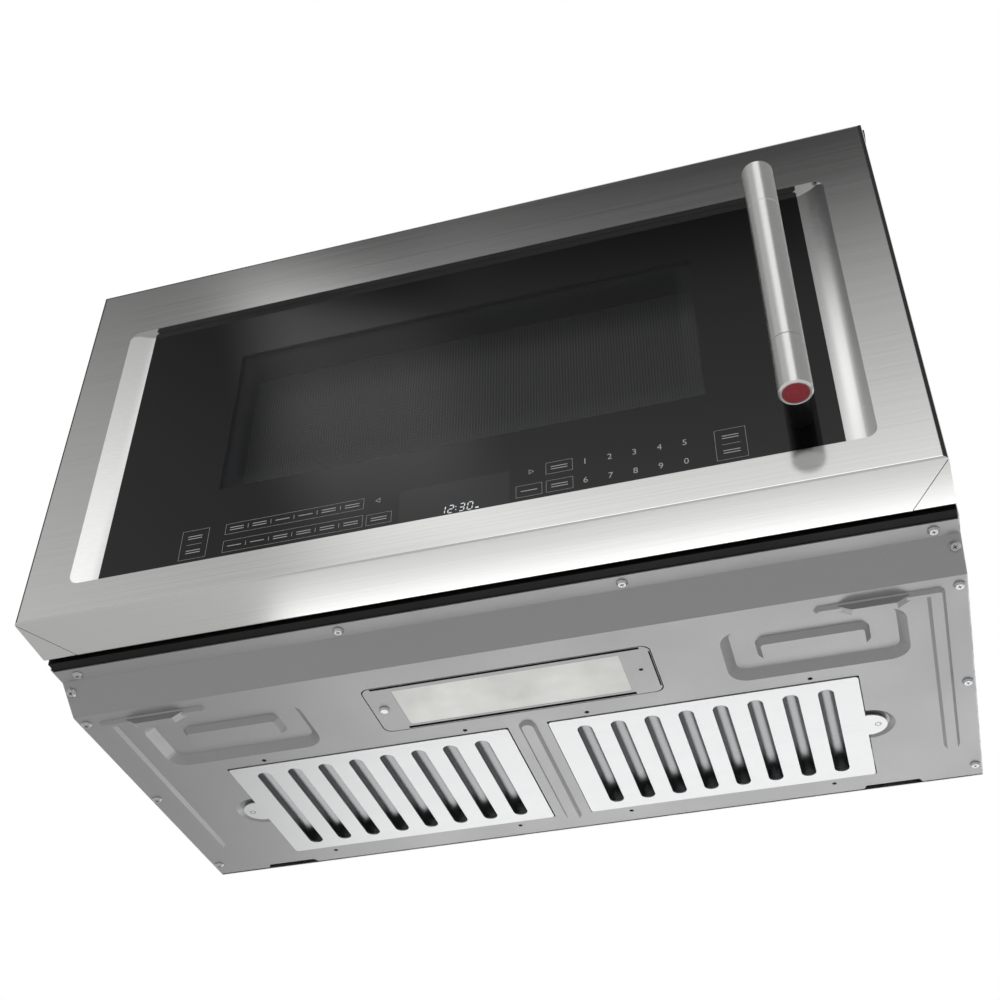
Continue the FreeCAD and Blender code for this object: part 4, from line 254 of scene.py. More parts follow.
# %% Lamps
def lamp(name, place, target, size, power, mirrored=False):
    """A soft lamp that points at a target, with its two sides; mirrored shows it in shiny pieces."""
    data = bpy.data.lights.new(name, "AREA")
    data.shape = "RECTANGLE"
    data.size, data.size_y = size
    data.energy = power
    light = bpy.data.objects.new(name, data)
    light.location = place
    light.rotation_euler = (Vector(target) - Vector(place)).to_track_quat("-Z", "Y").to_euler()
    light.visible_camera = False
    light.visible_glossy = mirrored
    bpy.context.scene.collection.objects.link(light)


lamp("key lamp", (-1.6, -2.2, 1.6), (0, -0.2, 0), (1.4, 1.4), 36)
lamp("back lamp", (1.5, 1.6, 1.4), (0, -0.2, 0), (1.4, 1.4), 26)
lamp("floor card", (0.10, 0.95, -1.22), (0.1, 0.1, 0), (1.9, 1.3), 12.0, mirrored=True)

# %% [markdown]
# ## Stainless steel of the door
#
# The door skin is a ferritic stainless sheet, brushed along its width by abrasive
# belts. The scratches are far finer than a pixel, so they are drawn coarse, about
# 2 mm apart: a noise that is stretched along X changes the roughness and the
# height a little from line to line. The handle's tube is turned against the belt
# instead, so its scratches run round it. They smear a reflection along the tube,
# which is what the anisotropy below is for, and leave its bright middle and dark
# sides.

# %% Brushed stainless
QUARTER_TURN = 0.25       # turns the smear from round an upright tube to along it


def brushed_metal(name, colour, roughness, lines, depth, spread, smear=0.0):
    """Metal with fine parallel scratches; lines are noise cells per metre along X, Y and Z."""
    material, tree = new_material(name)
    place = add(tree, "TexCoord")
    stretch = add(tree, "Mapping", {}, {"Vector": place.outputs["Object"], "Scale": lines})
    scratch = add(tree, "TexNoise", {}, {"Vector": stretch.outputs[0], "Scale": 1.0, "Detail": 3.0,
                                         "Roughness": 0.6})
    rough = add(tree, "MapRange", {}, {"Value": scratch.outputs[0], "From Min": 0.3, "From Max": 0.7,
                                       "To Min": roughness - spread, "To Max": roughness + spread})
    tint = add(tree, "Mix", {"data_type": "RGBA"},
               {"Factor": scratch.outputs[0], 6: linear(colour[0]), 7: linear(colour[1])})
    bump = add(tree, "Bump", {}, {"Height": scratch.outputs[0], "Strength": depth, "Distance": 0.0001})
    metal = add(tree, "BsdfPrincipled", {}, {"Base Color": tint.outputs[2], "Metallic": 1.0,
                                             "Roughness": rough.outputs[0], "Normal": bump.outputs[0],
                                             "Anisotropic": smear, "Anisotropic Rotation": QUARTER_TURN})
    add(tree, "OutputMaterial", {}, {"Surface": metal.outputs[0]})
    return material


ALONG_X = (3.0, 500.0, 700.0)
stainless = brushed_metal("stainless steel, brushed sheet", ("#cacac9", "#d8d8d7"),
                          0.14, ALONG_X, 0.010, 0.01)
satin_steel = brushed_metal("stainless steel, satin tube", ("#e6e6e5", "#f1f1f0"),
                            0.38, ALONG_X, 0.02, 0.02, smear=0.95)
bare_aluminium = brushed_metal("aluminium, rolled sheet", ("#c4c5c6", "#d0d1d2"),
                               0.42, ALONG_X, 0.03, 0.04)
# The baffles are the same aluminium as the plates, drawn darker: painted shade of the deep slots between
# them.
baffle_aluminium_painted_shade = brushed_metal("aluminium, darkened as painted shade of the slots", ("#7c7d7f", "#8e8f91"),
                                 0.30, ALONG_X, 0.03, 0.03)
print("brushed finishes:", stainless.name, "/", satin_steel.name, "/", bare_aluminium.name)

# %% [markdown]
# ## Coated steel, enamel and plastic
#
# The base is pressed from coated steel: a satin grey film with a slight metallic
# sheen. Enamel, moulded plastic and zinc plating have a fine grain in the same
# way. The grain is drawn coarse, at about 1 mm.

# %% Coated steel, enamel and plastic
def speckled(name, colours, metallic, roughness, grain, depth, gloss=0.5):
    """A skin with a fine grain in colour and height; grain is cells per metre, gloss the specular level."""
    material, tree = new_material(name)
    place = add(tree, "TexCoord")
    fine = add(tree, "TexNoise", {}, {"Vector": place.outputs["Object"], "Scale": grain, "Detail": 2.0})
    broad = add(tree, "TexNoise", {}, {"Vector": place.outputs["Object"], "Scale": 9.0, "Detail": 3.0})
    tint = add(tree, "Mix", {"data_type": "RGBA"},
               {"Factor": fine.outputs[0], 6: linear(colours[0]), 7: linear(colours[1])})
    rough = add(tree, "MapRange", {}, {"Value": broad.outputs[0], "From Min": 0.3, "From Max": 0.7,
                                       "To Min": roughness * 0.88, "To Max": roughness * 1.12})
    bump = add(tree, "Bump", {}, {"Height": fine.outputs[0], "Strength": depth, "Distance": 0.0002})
    skin = add(tree, "BsdfPrincipled", {}, {"Base Color": tint.outputs[2], "Metallic": metallic,
                                            "Roughness": rough.outputs[0], "Normal": bump.outputs[0],
                                            "Specular IOR Level": gloss})
    add(tree, "OutputMaterial", {}, {"Surface": skin.outputs[0]})
    return material


coated_steel = speckled("coated steel, pressed", ("#969697", "#a0a0a1"), 0.5, 0.36, 1400.0, 0.08)
black_enamel = speckled("black enamel, baked", ("#050505", "#0b0b0b"), 0.0, 0.55, 900.0, 0.10,
                         gloss=0.15)
black_plastic = speckled("black ABS, moulded", ("#101011", "#191919"), 0.0, 0.48, 1600.0, 0.35)
white_plastic = speckled("white polyester, moulded", ("#d6d5cf", "#e2e1dc"), 0.0, 0.45, 1600.0, 0.2)
dark_coating = speckled("dark steel, satin coated", ("#26262a", "#343438"), 0.8, 0.36, 1300.0, 0.15)
zinc_plate = speckled("steel, zinc plated", ("#a9abae", "#c4c6c8"), 1.0, 0.28, 1100.0, 0.15)
heater_skin = speckled("nickel alloy, heated", ("#3a3431", "#57504a"), 0.8, 0.5, 1200.0, 0.2)
print("grained finishes:", coated_steel.name, "/", black_enamel.name, "/", black_plastic.name)

# %% [markdown]
# ## Zinc, flecked enamel, charcoal and mica
#
# The hidden sheets are plain galvanised steel, whose zinc freezes in flat
# crystals about a centimetre across, called spangle. The enamel of the oven's
# walls has pale flecks, the filter pad is pressed from grains of charcoal, and
# the mica sheet is made of flakes. A Voronoi pattern gives each crystal, fleck,
# grain or flake a shade of its own, so one function draws all four.

# %% Galvanised sheet, flecked enamel, charcoal and mica
def celled(name, colours, metallic, roughness, cell, low, high):
    """A skin broken into cells of the given size in metres, each cell a shade of its own."""
    material, tree = new_material(name)
    place = add(tree, "TexCoord")
    cells = add(tree, "TexVoronoi", {}, {"Vector": place.outputs["Object"], "Scale": 1.0 / cell})
    split = add(tree, "SeparateColor", {}, {0: cells.outputs["Color"]})
    shade = add(tree, "MapRange", {}, {"Value": split.outputs[0], "From Min": low, "From Max": high})
    tint = add(tree, "Mix", {"data_type": "RGBA"},
               {"Factor": shade.outputs[0], 6: linear(colours[0]), 7: linear(colours[1])})
    rough = add(tree, "MapRange", {}, {"Value": split.outputs[1], "To Min": roughness - 0.06,
                                       "To Max": roughness + 0.06})
    bump = add(tree, "Bump", {}, {"Height": cells.outputs["Distance"], "Strength": 0.06,
                                  "Distance": cell * 0.1})
    skin = add(tree, "BsdfPrincipled", {}, {"Base Color": tint.outputs[2], "Metallic": metallic,
                                            "Roughness": rough.outputs[0], "Normal": bump.outputs[0]})
    add(tree, "OutputMaterial", {}, {"Surface": skin.outputs[0]})
    return material


galvanised = celled("galvanised steel, hot dipped", ("#98999b", "#b4b6b9"), 1.0, 0.42, 0.011, 0.0, 1.0)
grey_enamel = celled("grey enamel, fired with flecks", ("#a5a5a2", "#efefec"), 0.0, 0.22, 0.0011, 0.93, 0.96)
charcoal = celled("activated charcoal, pressed", ("#0c0c0c", "#242424"), 0.0, 0.9, 0.0025, 0.0, 1.0)
mica_sheet = celled("mica, split sheet", ("#8d7c5f", "#c9b992"), 0.1, 0.35, 0.004, 0.0, 1.0)
print("celled finishes:", galvanised.name, "/", grey_enamel.name, "/", mica_sheet.name)

# %% [markdown]
# ## Circuit board and windings
#
# Inside the oven are a green glass-fibre board with its traces and the copper
# windings of the transformer. A brick pattern stands for the runs of track, and a
# wave pattern for the turns of wire, drawn coarse, about 2 mm apart.

# %% Board and copper
def patterned(name, kind, settings, inputs, colours, metallic, roughness):
    """A skin with two colours from one of the pattern nodes."""
    material, tree = new_material(name)
    place = add(tree, "TexCoord")
    pattern = add(tree, kind, settings, {"Vector": place.outputs["Object"], **inputs})
    tint = add(tree, "Mix", {"data_type": "RGBA"},
               {"Factor": pattern.outputs["Fac"], 6: linear(colours[0]), 7: linear(colours[1])})
    bump = add(tree, "Bump", {}, {"Height": pattern.outputs["Fac"], "Strength": 0.3, "Distance": 0.0003})
    skin = add(tree, "BsdfPrincipled", {}, {"Base Color": tint.outputs[2], "Metallic": metallic,
                                            "Roughness": roughness, "Normal": bump.outputs[0]})
    add(tree, "OutputMaterial", {}, {"Surface": skin.outputs[0]})
    return material


board = patterned("glass-fibre board, green mask", "TexBrick", {},
                  {"Scale": 90.0, "Mortar Size": 0.12}, ("#0d4a26", "#3c8a52"), 0.0, 0.35)
winding = patterned("copper wire, varnished", "TexWave", {"bands_direction": "Z"},
                    {"Scale": 160.0}, ("#5c2a10", "#b4662e"), 0.7, 0.32)
print("board and winding:", board.name, "/", winding.name)

# %% [markdown]
# ## Door glass
#
# The glass is one tinted float pane. It is printed black behind, except for the
# window, where only the tint is left and the screen shows through. The construction
# has one pane, so the print is drawn with a mask: the part of the pane inside the
# window's outline lets light pass, and the rest is opaque black with the same
# polished face. The display has its own, slightly lighter patch.

# %% Tinted glass with its printed border
WINDOW_X = (-209.8, 209.8)      # clear window in the print, mm
WINDOW_Z = (-84.3, 80.9)
SCREEN_RIM = 13.0               # flat rim of the screen, seen through the pane, mm
DISPLAY_X = (-43.5, 48.5)
DISPLAY_Z = (-159.6, -126.1)


def inside(tree, value, low, high, soft=0.2):
    """1 where a coordinate in metres lies between two limits in mm, fading over soft mm."""
    middle, reach = (low + high) / 2 * MM, (high - low) / 2 * MM
    away = add(tree, "Math", {"operation": "SUBTRACT"}, {0: value, 1: middle})
    away = add(tree, "Math", {"operation": "ABSOLUTE"}, {0: away.outputs[0]})
    return add(tree, "MapRange", {}, {"Value": away.outputs[0], "From Min": reach - soft * MM,
                                      "From Max": reach + soft * MM, "To Min": 1.0, "To Max": 0.0}).outputs[0]


door_glass, tree = new_material("float glass, tinted and printed black")
place = add(tree, "TexCoord")
split = add(tree, "SeparateXYZ", {}, {0: place.outputs["Object"]})
across = inside(tree, split.outputs["X"], *WINDOW_X)
upright = inside(tree, split.outputs["Z"], *WINDOW_Z)
window = add(tree, "Math", {"operation": "MULTIPLY"}, {0: across, 1: upright})
across = inside(tree, split.outputs["X"], WINDOW_X[0] + SCREEN_RIM, WINDOW_X[1] - SCREEN_RIM)
upright = inside(tree, split.outputs["Z"], WINDOW_Z[0] + SCREEN_RIM, WINDOW_Z[1] - SCREEN_RIM)
middle = add(tree, "Math", {"operation": "MULTIPLY"}, {0: across, 1: upright})
across = inside(tree, split.outputs["X"], *DISPLAY_X)
upright = inside(tree, split.outputs["Z"], *DISPLAY_Z)
display = add(tree, "Math", {"operation": "MULTIPLY"}, {0: across, 1: upright})
cloud = add(tree, "TexNoise", {}, {"Vector": place.outputs["Object"], "Scale": 5.0})
shade = add(tree, "Mix", {"data_type": "RGBA"},
            {"Factor": display.outputs[0], 6: linear("#060607"), 7: linear("#1c1c1e")})
clear = add(tree, "Mix", {"data_type": "RGBA"},
            {"Factor": middle.outputs[0], 6: linear("#2c2d2f"), 7: linear("#1c1d1f")})
shade = add(tree, "Mix", {"data_type": "RGBA"},
            {"Factor": window.outputs[0], 6: shade.outputs[2], 7: clear.outputs[2]})
rough = add(tree, "MapRange", {}, {"Value": cloud.outputs[0], "To Min": 0.03, "To Max": 0.07})
pass_through = add(tree, "MapRange", {}, {"Value": window.outputs[0], "To Min": 1.0, "To Max": 0.35})
glass = add(tree, "BsdfPrincipled", {}, {"Base Color": shade.outputs[2], "Roughness": rough.outputs[0],
                                         "IOR": 1.52, "Specular IOR Level": 0.34,
                                         "Alpha": pass_through.outputs[0]})
add(tree, "OutputMaterial", {}, {"Surface": glass.outputs[0]})
print("door glass: window", WINDOW_X, WINDOW_Z)

# %% [markdown]
# ## Clear glass and the lamp's lens
#
# The inner window and the tray are clear float glass, with a few smears. The lens
# of the lamp is frosted polycarbonate: it hides the lamps behind it, so it is
# opaque here and a little cloudy. A faint painted glow in its own tint brightens it.

# %% Clear glass and frosted lens
clear_glass, tree = new_material("float glass, clear")
place = add(tree, "TexCoord")
smear = add(tree, "TexNoise", {}, {"Vector": place.outputs["Object"], "Scale": 12.0})
rough = add(tree, "MapRange", {}, {"Value": smear.outputs[0], "To Min": 0.02, "To Max": 0.08})
pane = add(tree, "BsdfPrincipled", {}, {"Base Color": linear("#e6f0ee"), "Roughness": rough.outputs[0],
                                        "IOR": 1.52, "Alpha": 0.18})
add(tree, "OutputMaterial", {}, {"Surface": pane.outputs[0]})

lens, tree = new_material("polycarbonate, frosted")
place = add(tree, "TexCoord")
frost = add(tree, "TexNoise", {}, {"Vector": place.outputs["Object"], "Scale": 26.0, "Detail": 4.0})
tint = add(tree, "Mix", {"data_type": "RGBA"},
           {"Factor": frost.outputs[0], 6: linear("#a9a9a7"), 7: linear("#dcdcd9")})
bump = add(tree, "Bump", {}, {"Height": frost.outputs[0], "Strength": 0.2, "Distance": 0.0004})
# The emission is a painted glow that brightens the lens in its own tint.
milk = add(tree, "BsdfPrincipled", {}, {"Base Color": tint.outputs[2], "Roughness": 0.32, "IOR": 1.58,
                                        "Normal": bump.outputs[0], "Emission Color": tint.outputs[2],
                                        "Emission Strength": 0.2})
add(tree, "OutputMaterial", {}, {"Surface": milk.outputs[0]})
print("see-through finishes:", clear_glass.name, "/", lens.name)

# %% [markdown]
# ## Screen of the window
#
# Behind the glass is a steel sheet with rows of punched holes that keep the
# microwaves in. The real holes are about 1.3 mm apart, which is finer than a
# pixel here, so they are drawn 2.6 mm apart. They are a material, because ten
# thousand real holes would add nothing that the eye can find. Each hole is a
# darker spot: painted shade of the closed oven seen through it.

# %% Perforated screen
HOLE_PITCH = 2.6      # drawn coarse, mm

screen, tree = new_material("steel screen, punched and black enamelled")
place = add(tree, "TexCoord")
split = add(tree, "SeparateXYZ", {}, {0: place.outputs["Object"]})
turns = 2 * math.pi / (HOLE_PITCH * MM)
waves = []
for axis in ("X", "Z"):
    turn = add(tree, "Math", {"operation": "MULTIPLY"}, {0: split.outputs[axis], 1: turns})
    waves.append(add(tree, "Math", {"operation": "COSINE"}, {0: turn.outputs[0]}).outputs[0])
ridge = add(tree, "Math", {"operation": "ADD"}, {0: waves[0], 1: waves[1]})
# Darker spots where the holes are: painted shade of the oven behind the sheet.
hole_painted_shade = add(tree, "MapRange", {}, {"Value": ridge.outputs[0], "From Min": 0.1, "From Max": 0.5})
tint = add(tree, "Mix", {"data_type": "RGBA"},
           {"Factor": hole_painted_shade.outputs[0], 6: linear("#686868"), 7: linear("#404040")})
sheet = add(tree, "BsdfPrincipled", {}, {"Base Color": tint.outputs[2], "Metallic": 0.4, "Roughness": 0.4})
add(tree, "OutputMaterial", {}, {"Surface": sheet.outputs[0]})
print("screen holes every", HOLE_PITCH, "mm")

# %% [markdown]
# ## Medallion of the handle
#
# Each end of the bar handle is closed by a steel cap with a disc of red enamel.
# The disc has two plain turned rings. The rings and the rim are found from the
# distance to the handle's axis.

# %% Enamel medallion
cap_low, cap_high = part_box("handle_end_caps")
AXIS = ((cap_low[0] + cap_high[0]) / 2, (cap_low[1] + cap_high[1]) / 2)
CAP_RADIUS = (cap_high[0] - cap_low[0]) / 2
RIM_STARTS = 0.92         # bare steel rim, as a share of the radius

medallion, tree = new_material("red enamel, fired in a steel cap")
place = add(tree, "TexCoord")
centre = add(tree, "VectorMath", {"operation": "SUBTRACT"},
             {0: place.outputs["Object"], 1: (AXIS[0], AXIS[1], 0.0)})
flat = add(tree, "VectorMath", {"operation": "MULTIPLY"}, {0: centre.outputs[0], 1: (1.0, 1.0, 0.0)})
radius = add(tree, "VectorMath", {"operation": "LENGTH"}, {0: flat.outputs[0]})
part_way = add(tree, "Math", {"operation": "DIVIDE"}, {0: radius.outputs["Value"], 1: CAP_RADIUS})
bands = add(tree, "ValToRGB", {}, {0: part_way.outputs[0]})
ramp = bands.color_ramp
ramp.interpolation = "CONSTANT"
RED, DARK_RED, RIM = linear("#96202f"), linear("#701626"), linear("#c9c9c7")
ramp.elements[0].color = RED
ramp.elements[1].position = RIM_STARTS
ramp.elements[1].color = RIM
RINGS = ((0.34, DARK_RED), (0.38, RED), (0.68, DARK_RED), (0.72, RED))     # starts, as shares of the radius
for start, colour in RINGS:
    ramp.elements.new(start).color = colour
steel = add(tree, "Math", {"operation": "GREATER_THAN"}, {0: part_way.outputs[0], 1: RIM_STARTS})
grain = add(tree, "TexNoise", {}, {"Vector": place.outputs["Object"], "Scale": 800.0})
rough = add(tree, "MapRange", {}, {"Value": grain.outputs[0], "To Min": 0.18, "To Max": 0.3})
bump = add(tree, "Bump", {}, {"Height": bands.outputs[0], "Strength": 0.4, "Distance": 0.0003})
cap = add(tree, "BsdfPrincipled", {}, {"Base Color": bands.outputs[0], "Metallic": steel.outputs[0],
                                       "Roughness": rough.outputs[0], "Normal": bump.outputs[0]})
add(tree, "OutputMaterial", {}, {"Surface": cap.outputs[0]})
# A liberty for the sake of the look: shiny pieces don't mirror the end caps, as they would in fact
parts["handle_end_caps"].visible_glossy = False
print("medallion radius", round(CAP_RADIUS * 1000, 1), "mm")

# %% [markdown]
# ## Dressing the parts
#
# The record names a material slot for every part. Each slot gets one of the
# finishes above, so that a part which is never seen is dressed as well as the door.

# %% Give each part its finish
finishes = {
    "stainless": stainless, "base_steel": coated_steel, "galvanised": galvanised,
    "black_enamel": black_enamel, "cavity_enamel": grey_enamel, "filter_aluminium": bare_aluminium,
    "tinted_glass": door_glass, "clear_glass": clear_glass, "black_plastic": black_plastic,
    "white_plastic": white_plastic, "lens_plastic": lens, "circuit_board": board,
    "satin_steel": satin_steel, "dark_steel": dark_coating, "red_enamel": medallion,
    "zinc_screw": zinc_plate, "winding": winding, "mica": mica_sheet, "heater": heater_skin,
    "carbon_pad": charcoal,
}
for subpart in frame["record"]["subparts"]:
    dress(finishes[subpart["material_slot"]], subpart["node"])
dress(screen, "door_screen")
# The baffles get the darker aluminium, painted shade of the slots.
dress(baffle_aluminium_painted_shade, "filter_baffles_left", "filter_baffles_right")
print("dressed", len(dressed), "of", len(parts), "parts")

# %% [markdown]
# ## Printing on the glass
#
# The keys are touch fields, printed in light grey on the face of the glass: thin
# frames, short dividers, short bars, the ten digits and two arrows. The print
# stands 0.02 mm proud of the glass, enough to be drawn in front of it. A flat
# shape is a list of corners, which becomes one face of a mesh.

# %% Ink and a way to print flat shapes
ink, tree = new_material("ceramic ink, light grey")
place = add(tree, "TexCoord")
mesh_dots = add(tree, "TexNoise", {}, {"Vector": place.outputs["Object"], "Scale": 2500.0})
tint = add(tree, "Mix", {"data_type": "RGBA"},
           {"Factor": mesh_dots.outputs[0], 6: linear("#8e8e8e"), 7: linear("#b6b6b6")})
skin = add(tree, "BsdfPrincipled", {}, {"Base Color": tint.outputs[2], "Roughness": 0.5})
add(tree, "OutputMaterial", {}, {"Surface": skin.outputs[0]})

PRINT_LIFT = 0.02 * MM
PRINT_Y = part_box("door_glass")[0][1] - PRINT_LIFT


def place_piece(name, data, material, body, place=(0, 0, 0), turn=(0, 0, 0)):
    """A mesh or a text as a dressed piece that rides on a body."""
    data.materials.append(material)
    piece = bpy.data.objects.new(name, data)
    piece.rotation_euler = turn
    piece.location = place
    bpy.context.scene.collection.objects.link(piece)
    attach(piece, body)


def marks(name, shapes, material, body):
    """Flat shapes in one mesh, each a list of points in metres."""
    points, faces = [], []
    for shape in shapes:
        faces.append(tuple(range(len(points), len(points) + len(shape))))
        points += [tuple(point) for point in shape]
    mesh = bpy.data.meshes.new(name)
    mesh.from_pydata(points, [], faces)
    place_piece(name, mesh, material, body)


def printed(name, shapes, material):
    """Flat shapes on the face of the glass, each a list of X and Z in mm."""
    on_glass = [[(x * MM, PRINT_Y, z * MM) for x, z in shape] for shape in shapes]
    marks(name, on_glass, material, "door")


def bar(x0, x1, z0, z1):
    """A rectangle."""
    return [(x0, z0), (x1, z0), (x1, z1), (x0, z1)]


def outline(x0, x1, z0, z1, line=0.25):
    """Four thin bars round a key."""
    return [bar(x0, x1, z0, z0 + line), bar(x0, x1, z1 - line, z1),
            bar(x0, x0 + line, z0 + line, z1 - line), bar(x1 - line, x1, z0 + line, z1 - line)]


print("print stands at y =", round(PRINT_Y * 1000, 2), "mm")

# %% Frames, dividers and short bars
BAR_HALF = 0.38           # half of a bar's height, mm
BAR_RISE = 1.25           # from a key's middle to each bar of a pair, mm
DIVIDER_HALF = (0.2, 2.2)         # half of a divider's width and height, mm
PAIR_LINE_HALF = (7, 0.15)        # the same of the line between two keys, mm
PAIR_RISE = 7.6           # from that line to the middle of each key, mm
ROW_BAR, SINGLE_BAR, PAIR_BAR = 12.5, 13.5, 13.0      # width of a bar in each group of keys, mm


def key_bars(x, z, width, rows):
    """One or two short bars on a key, centred on x and z."""
    return [bar(x - width / 2, x + width / 2, z + offset - BAR_HALF, z + offset + BAR_HALF)
            for offset in ([0.0] if rows == 1 else [BAR_RISE, -BAR_RISE])]


def line(x, z, half):
    """A rectangle round its middle."""
    return bar(x - half[0], x + half[0], z - half[1], z + half[1])


# Keys on the glass, each from x to x and from z to z in mm
UPPER_ROW = (-197.0, -74.5, -137.4, -126.2)
LOWER_ROW = (-197.0, -74.3, -156.5, -144.2)
ROW_KEYS = ((UPPER_ROW, (2, 2, 1, 1, 2, 2)), (LOWER_ROW, (1, 1, 2, 2, 2, 2)))     # bars on each key
SINGLE_KEYS = (((-71.3, -49.7, -156.3, -145.1), 2), ((78.5, 100.3, -137.4, -125.3), 2),
               ((54.0, 75.3, -156.4, -144.4), 1), ((78.5, 100.3, -156.3, -144.2), 2))
PAIR_KEYS = ((-236.5, -212.0, -156.9, -125.9), (212.8, 236.9, -156.6, -125.3))

frames, bars = [], []
for (x0, x1, z0, z1), rows in ROW_KEYS:
    frames += outline(x0, x1, z0, z1)
    step = (x1 - x0) / len(rows)
    for i, lines in enumerate(rows):
        bars += key_bars(x0 + (i + 0.5) * step, (z0 + z1) / 2, ROW_BAR, lines)
        if i:
            frames.append(line(x0 + i * step, (z0 + z1) / 2, DIVIDER_HALF))
for (x0, x1, z0, z1), lines in SINGLE_KEYS:
    frames += outline(x0, x1, z0, z1)
    bars += key_bars((x0 + x1) / 2, (z0 + z1) / 2, SINGLE_BAR, lines)
for x0, x1, z0, z1 in PAIR_KEYS:
    x, z = (x0 + x1) / 2, (z0 + z1) / 2
    frames += outline(x0, x1, z0, z1) + [line(x, z, PAIR_LINE_HALF)]
    bars += key_bars(x, z + PAIR_RISE, PAIR_BAR, 2) + key_bars(x, z - PAIR_RISE, PAIR_BAR, 2)
printed("key_frames", frames, ink)
printed("key_bars", bars, ink)
print("printed", len(frames), "lines and", len(bars), "bars")

# %% Arrows and digits
def arrow(x, z, side):
    """A small hollow triangle that points left or right, as three thin strokes."""
    tip, back, half = (x - side * 2.6, z), x + side * 1.8, 2.5
    inner_tip, inner_half = (x - side * 1.7, z), 1.75
    inner_back = x + side * 1.4
    return [[tip, (back, z + half), (inner_back, z + inner_half), inner_tip],
            [tip, inner_tip, (inner_back, z - inner_half), (back, z - half)],
            [(back, z + half), (back, z - half), (inner_back, z - inner_half), (inner_back, z + inner_half)]]


printed("select_arrows", arrow(-62.2, -131.3, 1) + arrow(66.4, -131.4, -1), ink)

DIGIT_SIZE = 8.2 * MM
UPRIGHT = (math.radians(90), 0, 0)
DIGIT_COLUMNS = (110.3, 130.2, 149.9, 169.8, 189.6)
DIGIT_ROWS = ((-131.2, "12345"), (-150.7, "67890"))
for z, row in DIGIT_ROWS:
    for x, digit in zip(DIGIT_COLUMNS, row):
        text = bpy.data.curves.new("digit_" + digit, "FONT")
        text.body = digit
        text.size = DIGIT_SIZE
        text.align_x = text.align_y = "CENTER"
        place_piece("digit_" + digit, text, ink, "door",
                    (x * MM, PRINT_Y, z * MM), UPRIGHT)

# %% [markdown]
# ## Clock
#
# The display is a seven-segment clock behind the tinted glass. Each digit is made
# from the seven strokes that are lit for it, leaning a little to the right as the
# real ones do. They glow softly, which keeps them readable on the black.

# %% Seven-segment clock
glow, tree = new_material("display segments, lit")
place = add(tree, "TexCoord")
cloud = add(tree, "TexNoise", {}, {"Vector": place.outputs["Object"], "Scale": 300.0})
level = add(tree, "MapRange", {}, {"Value": cloud.outputs[0], "To Min": 0.5, "To Max": 0.8})
skin = add(tree, "BsdfPrincipled", {}, {"Base Color": linear("#b9bcbf"), "Roughness": 0.5,
                                        "Emission Color": linear("#dfe6ea"),
                                        "Emission Strength": level.outputs[0]})
add(tree, "OutputMaterial", {}, {"Surface": skin.outputs[0]})

SEGMENTS = {"a": ((0, 2), (1, 2)), "b": ((1, 1), (1, 2)), "c": ((1, 0), (1, 1)), "d": ((0, 0), (1, 0)),
            "e": ((0, 0), (0, 1)), "f": ((0, 1), (0, 2)), "g": ((0, 1), (1, 1))}
LIT = {"0": "abcdef", "1": "bc", "2": "abged", "3": "abgcd"}
LEAN = 0.16


def clock_digit(digit, x, z, width=4.0, height=7.4, stroke=0.75):
    """The lit strokes of one digit, its lower left corner at x and z."""
    strokes = []
    for key in LIT[digit]:
        (u0, v0), (u1, v1) = SEGMENTS[key]
        a, b = (u0 * width, v0 * height / 2), (u1 * width, v1 * height / 2)
        gap = stroke * 0.75
        if v0 == v1:
            corners = bar(a[0] + gap, b[0] - gap, a[1] - stroke / 2, a[1] + stroke / 2)
        else:
            corners = bar(a[0] - stroke / 2, a[0] + stroke / 2, a[1] + gap, b[1] - gap)
        strokes.append([(x + u + LEAN * v, z + v) for u, v in corners])
    return strokes


CLOCK_Z = -158.6
CLOCK_X = (-9.0, -2.2, 7.0, 13.8)
DOT, DOT_X, DOT_RISES = 0.8, 4.2, (1.8, 4.8)      # the colon's side, place and heights, mm
shapes = []
for digit, x in zip("1230", CLOCK_X):
    shapes += clock_digit(digit, x, CLOCK_Z)
shapes += [bar(DOT_X, DOT_X + DOT, CLOCK_Z + z, CLOCK_Z + z + DOT) for z in DOT_RISES]
shapes += [bar(20.8, 23.6, CLOCK_Z, CLOCK_Z + 1.2)]     # a short bar after the time
printed("clock", shapes, glow)
print("clock strokes:", len(shapes))

# %% [markdown]
# ## Small marks under the base
#
# Pan-head screws hold the base. Each head has a cross recess, drawn as a dark
# cross of painted shade on the head's flat top. A screw's own direction is found
# from its mesh: the largest flat area of a screw is the underside of its head, so
# the head faces the other way. Each filter tab has a small round dimple, drawn as
# a dark ring of painted shade. Black strips round the lamp cover are painted
# shadow of the gaps at its joints.

# %% Crosses in the screw heads
# Black strips round the lamp cover are painted shadow of the gaps at its joints, drawn in this black sheet.
joint_shadow = speckled("black sheet, painted shadow in the joints", ("#060606", "#101010"), 0.0, 0.9, 2200.0, 0.4, gloss=0.1)
recess_shade = speckled("steel, cross recess in shade", ("#1c1c1e", "#2c2c2e"), 0.4, 0.6, 1500.0, 0.2)


def separate_solids(mesh):
    """The faces of a mesh, grouped by the solid they belong to; corners at one place count as one."""
    first = {}
    place = [first.setdefault(tuple(round(c, 6) for c in v.co), v.index) for v in mesh.vertices]
    owner = list(range(len(mesh.vertices)))

    def root(i):
        while owner[i] != i:
            owner[i] = owner[owner[i]]
            i = owner[i]
        return i

    for face in mesh.polygons:
        for corner in face.vertices[1:]:
            owner[root(place[corner])] = root(place[face.vertices[0]])
    groups = {}
    for face in mesh.polygons:
        groups.setdefault(root(place[face.vertices[0]]), []).append(face)
    return list(groups.values())


CROSS_HALF, CROSS_WIDTH = 1.9 * MM, 0.75 * MM
MARK_LIFT = 0.03 * MM         # a mark stands this far off its surface
TOP_BAND = 0.05 * MM          # corners this near the top are the head's flat top
CROSS_TURN = Vector((0.3, 1.0, 0.2))      # any direction that is no screw's own
SQUARE = ((-1, -1), (1, -1), (1, 1), (-1, 1))

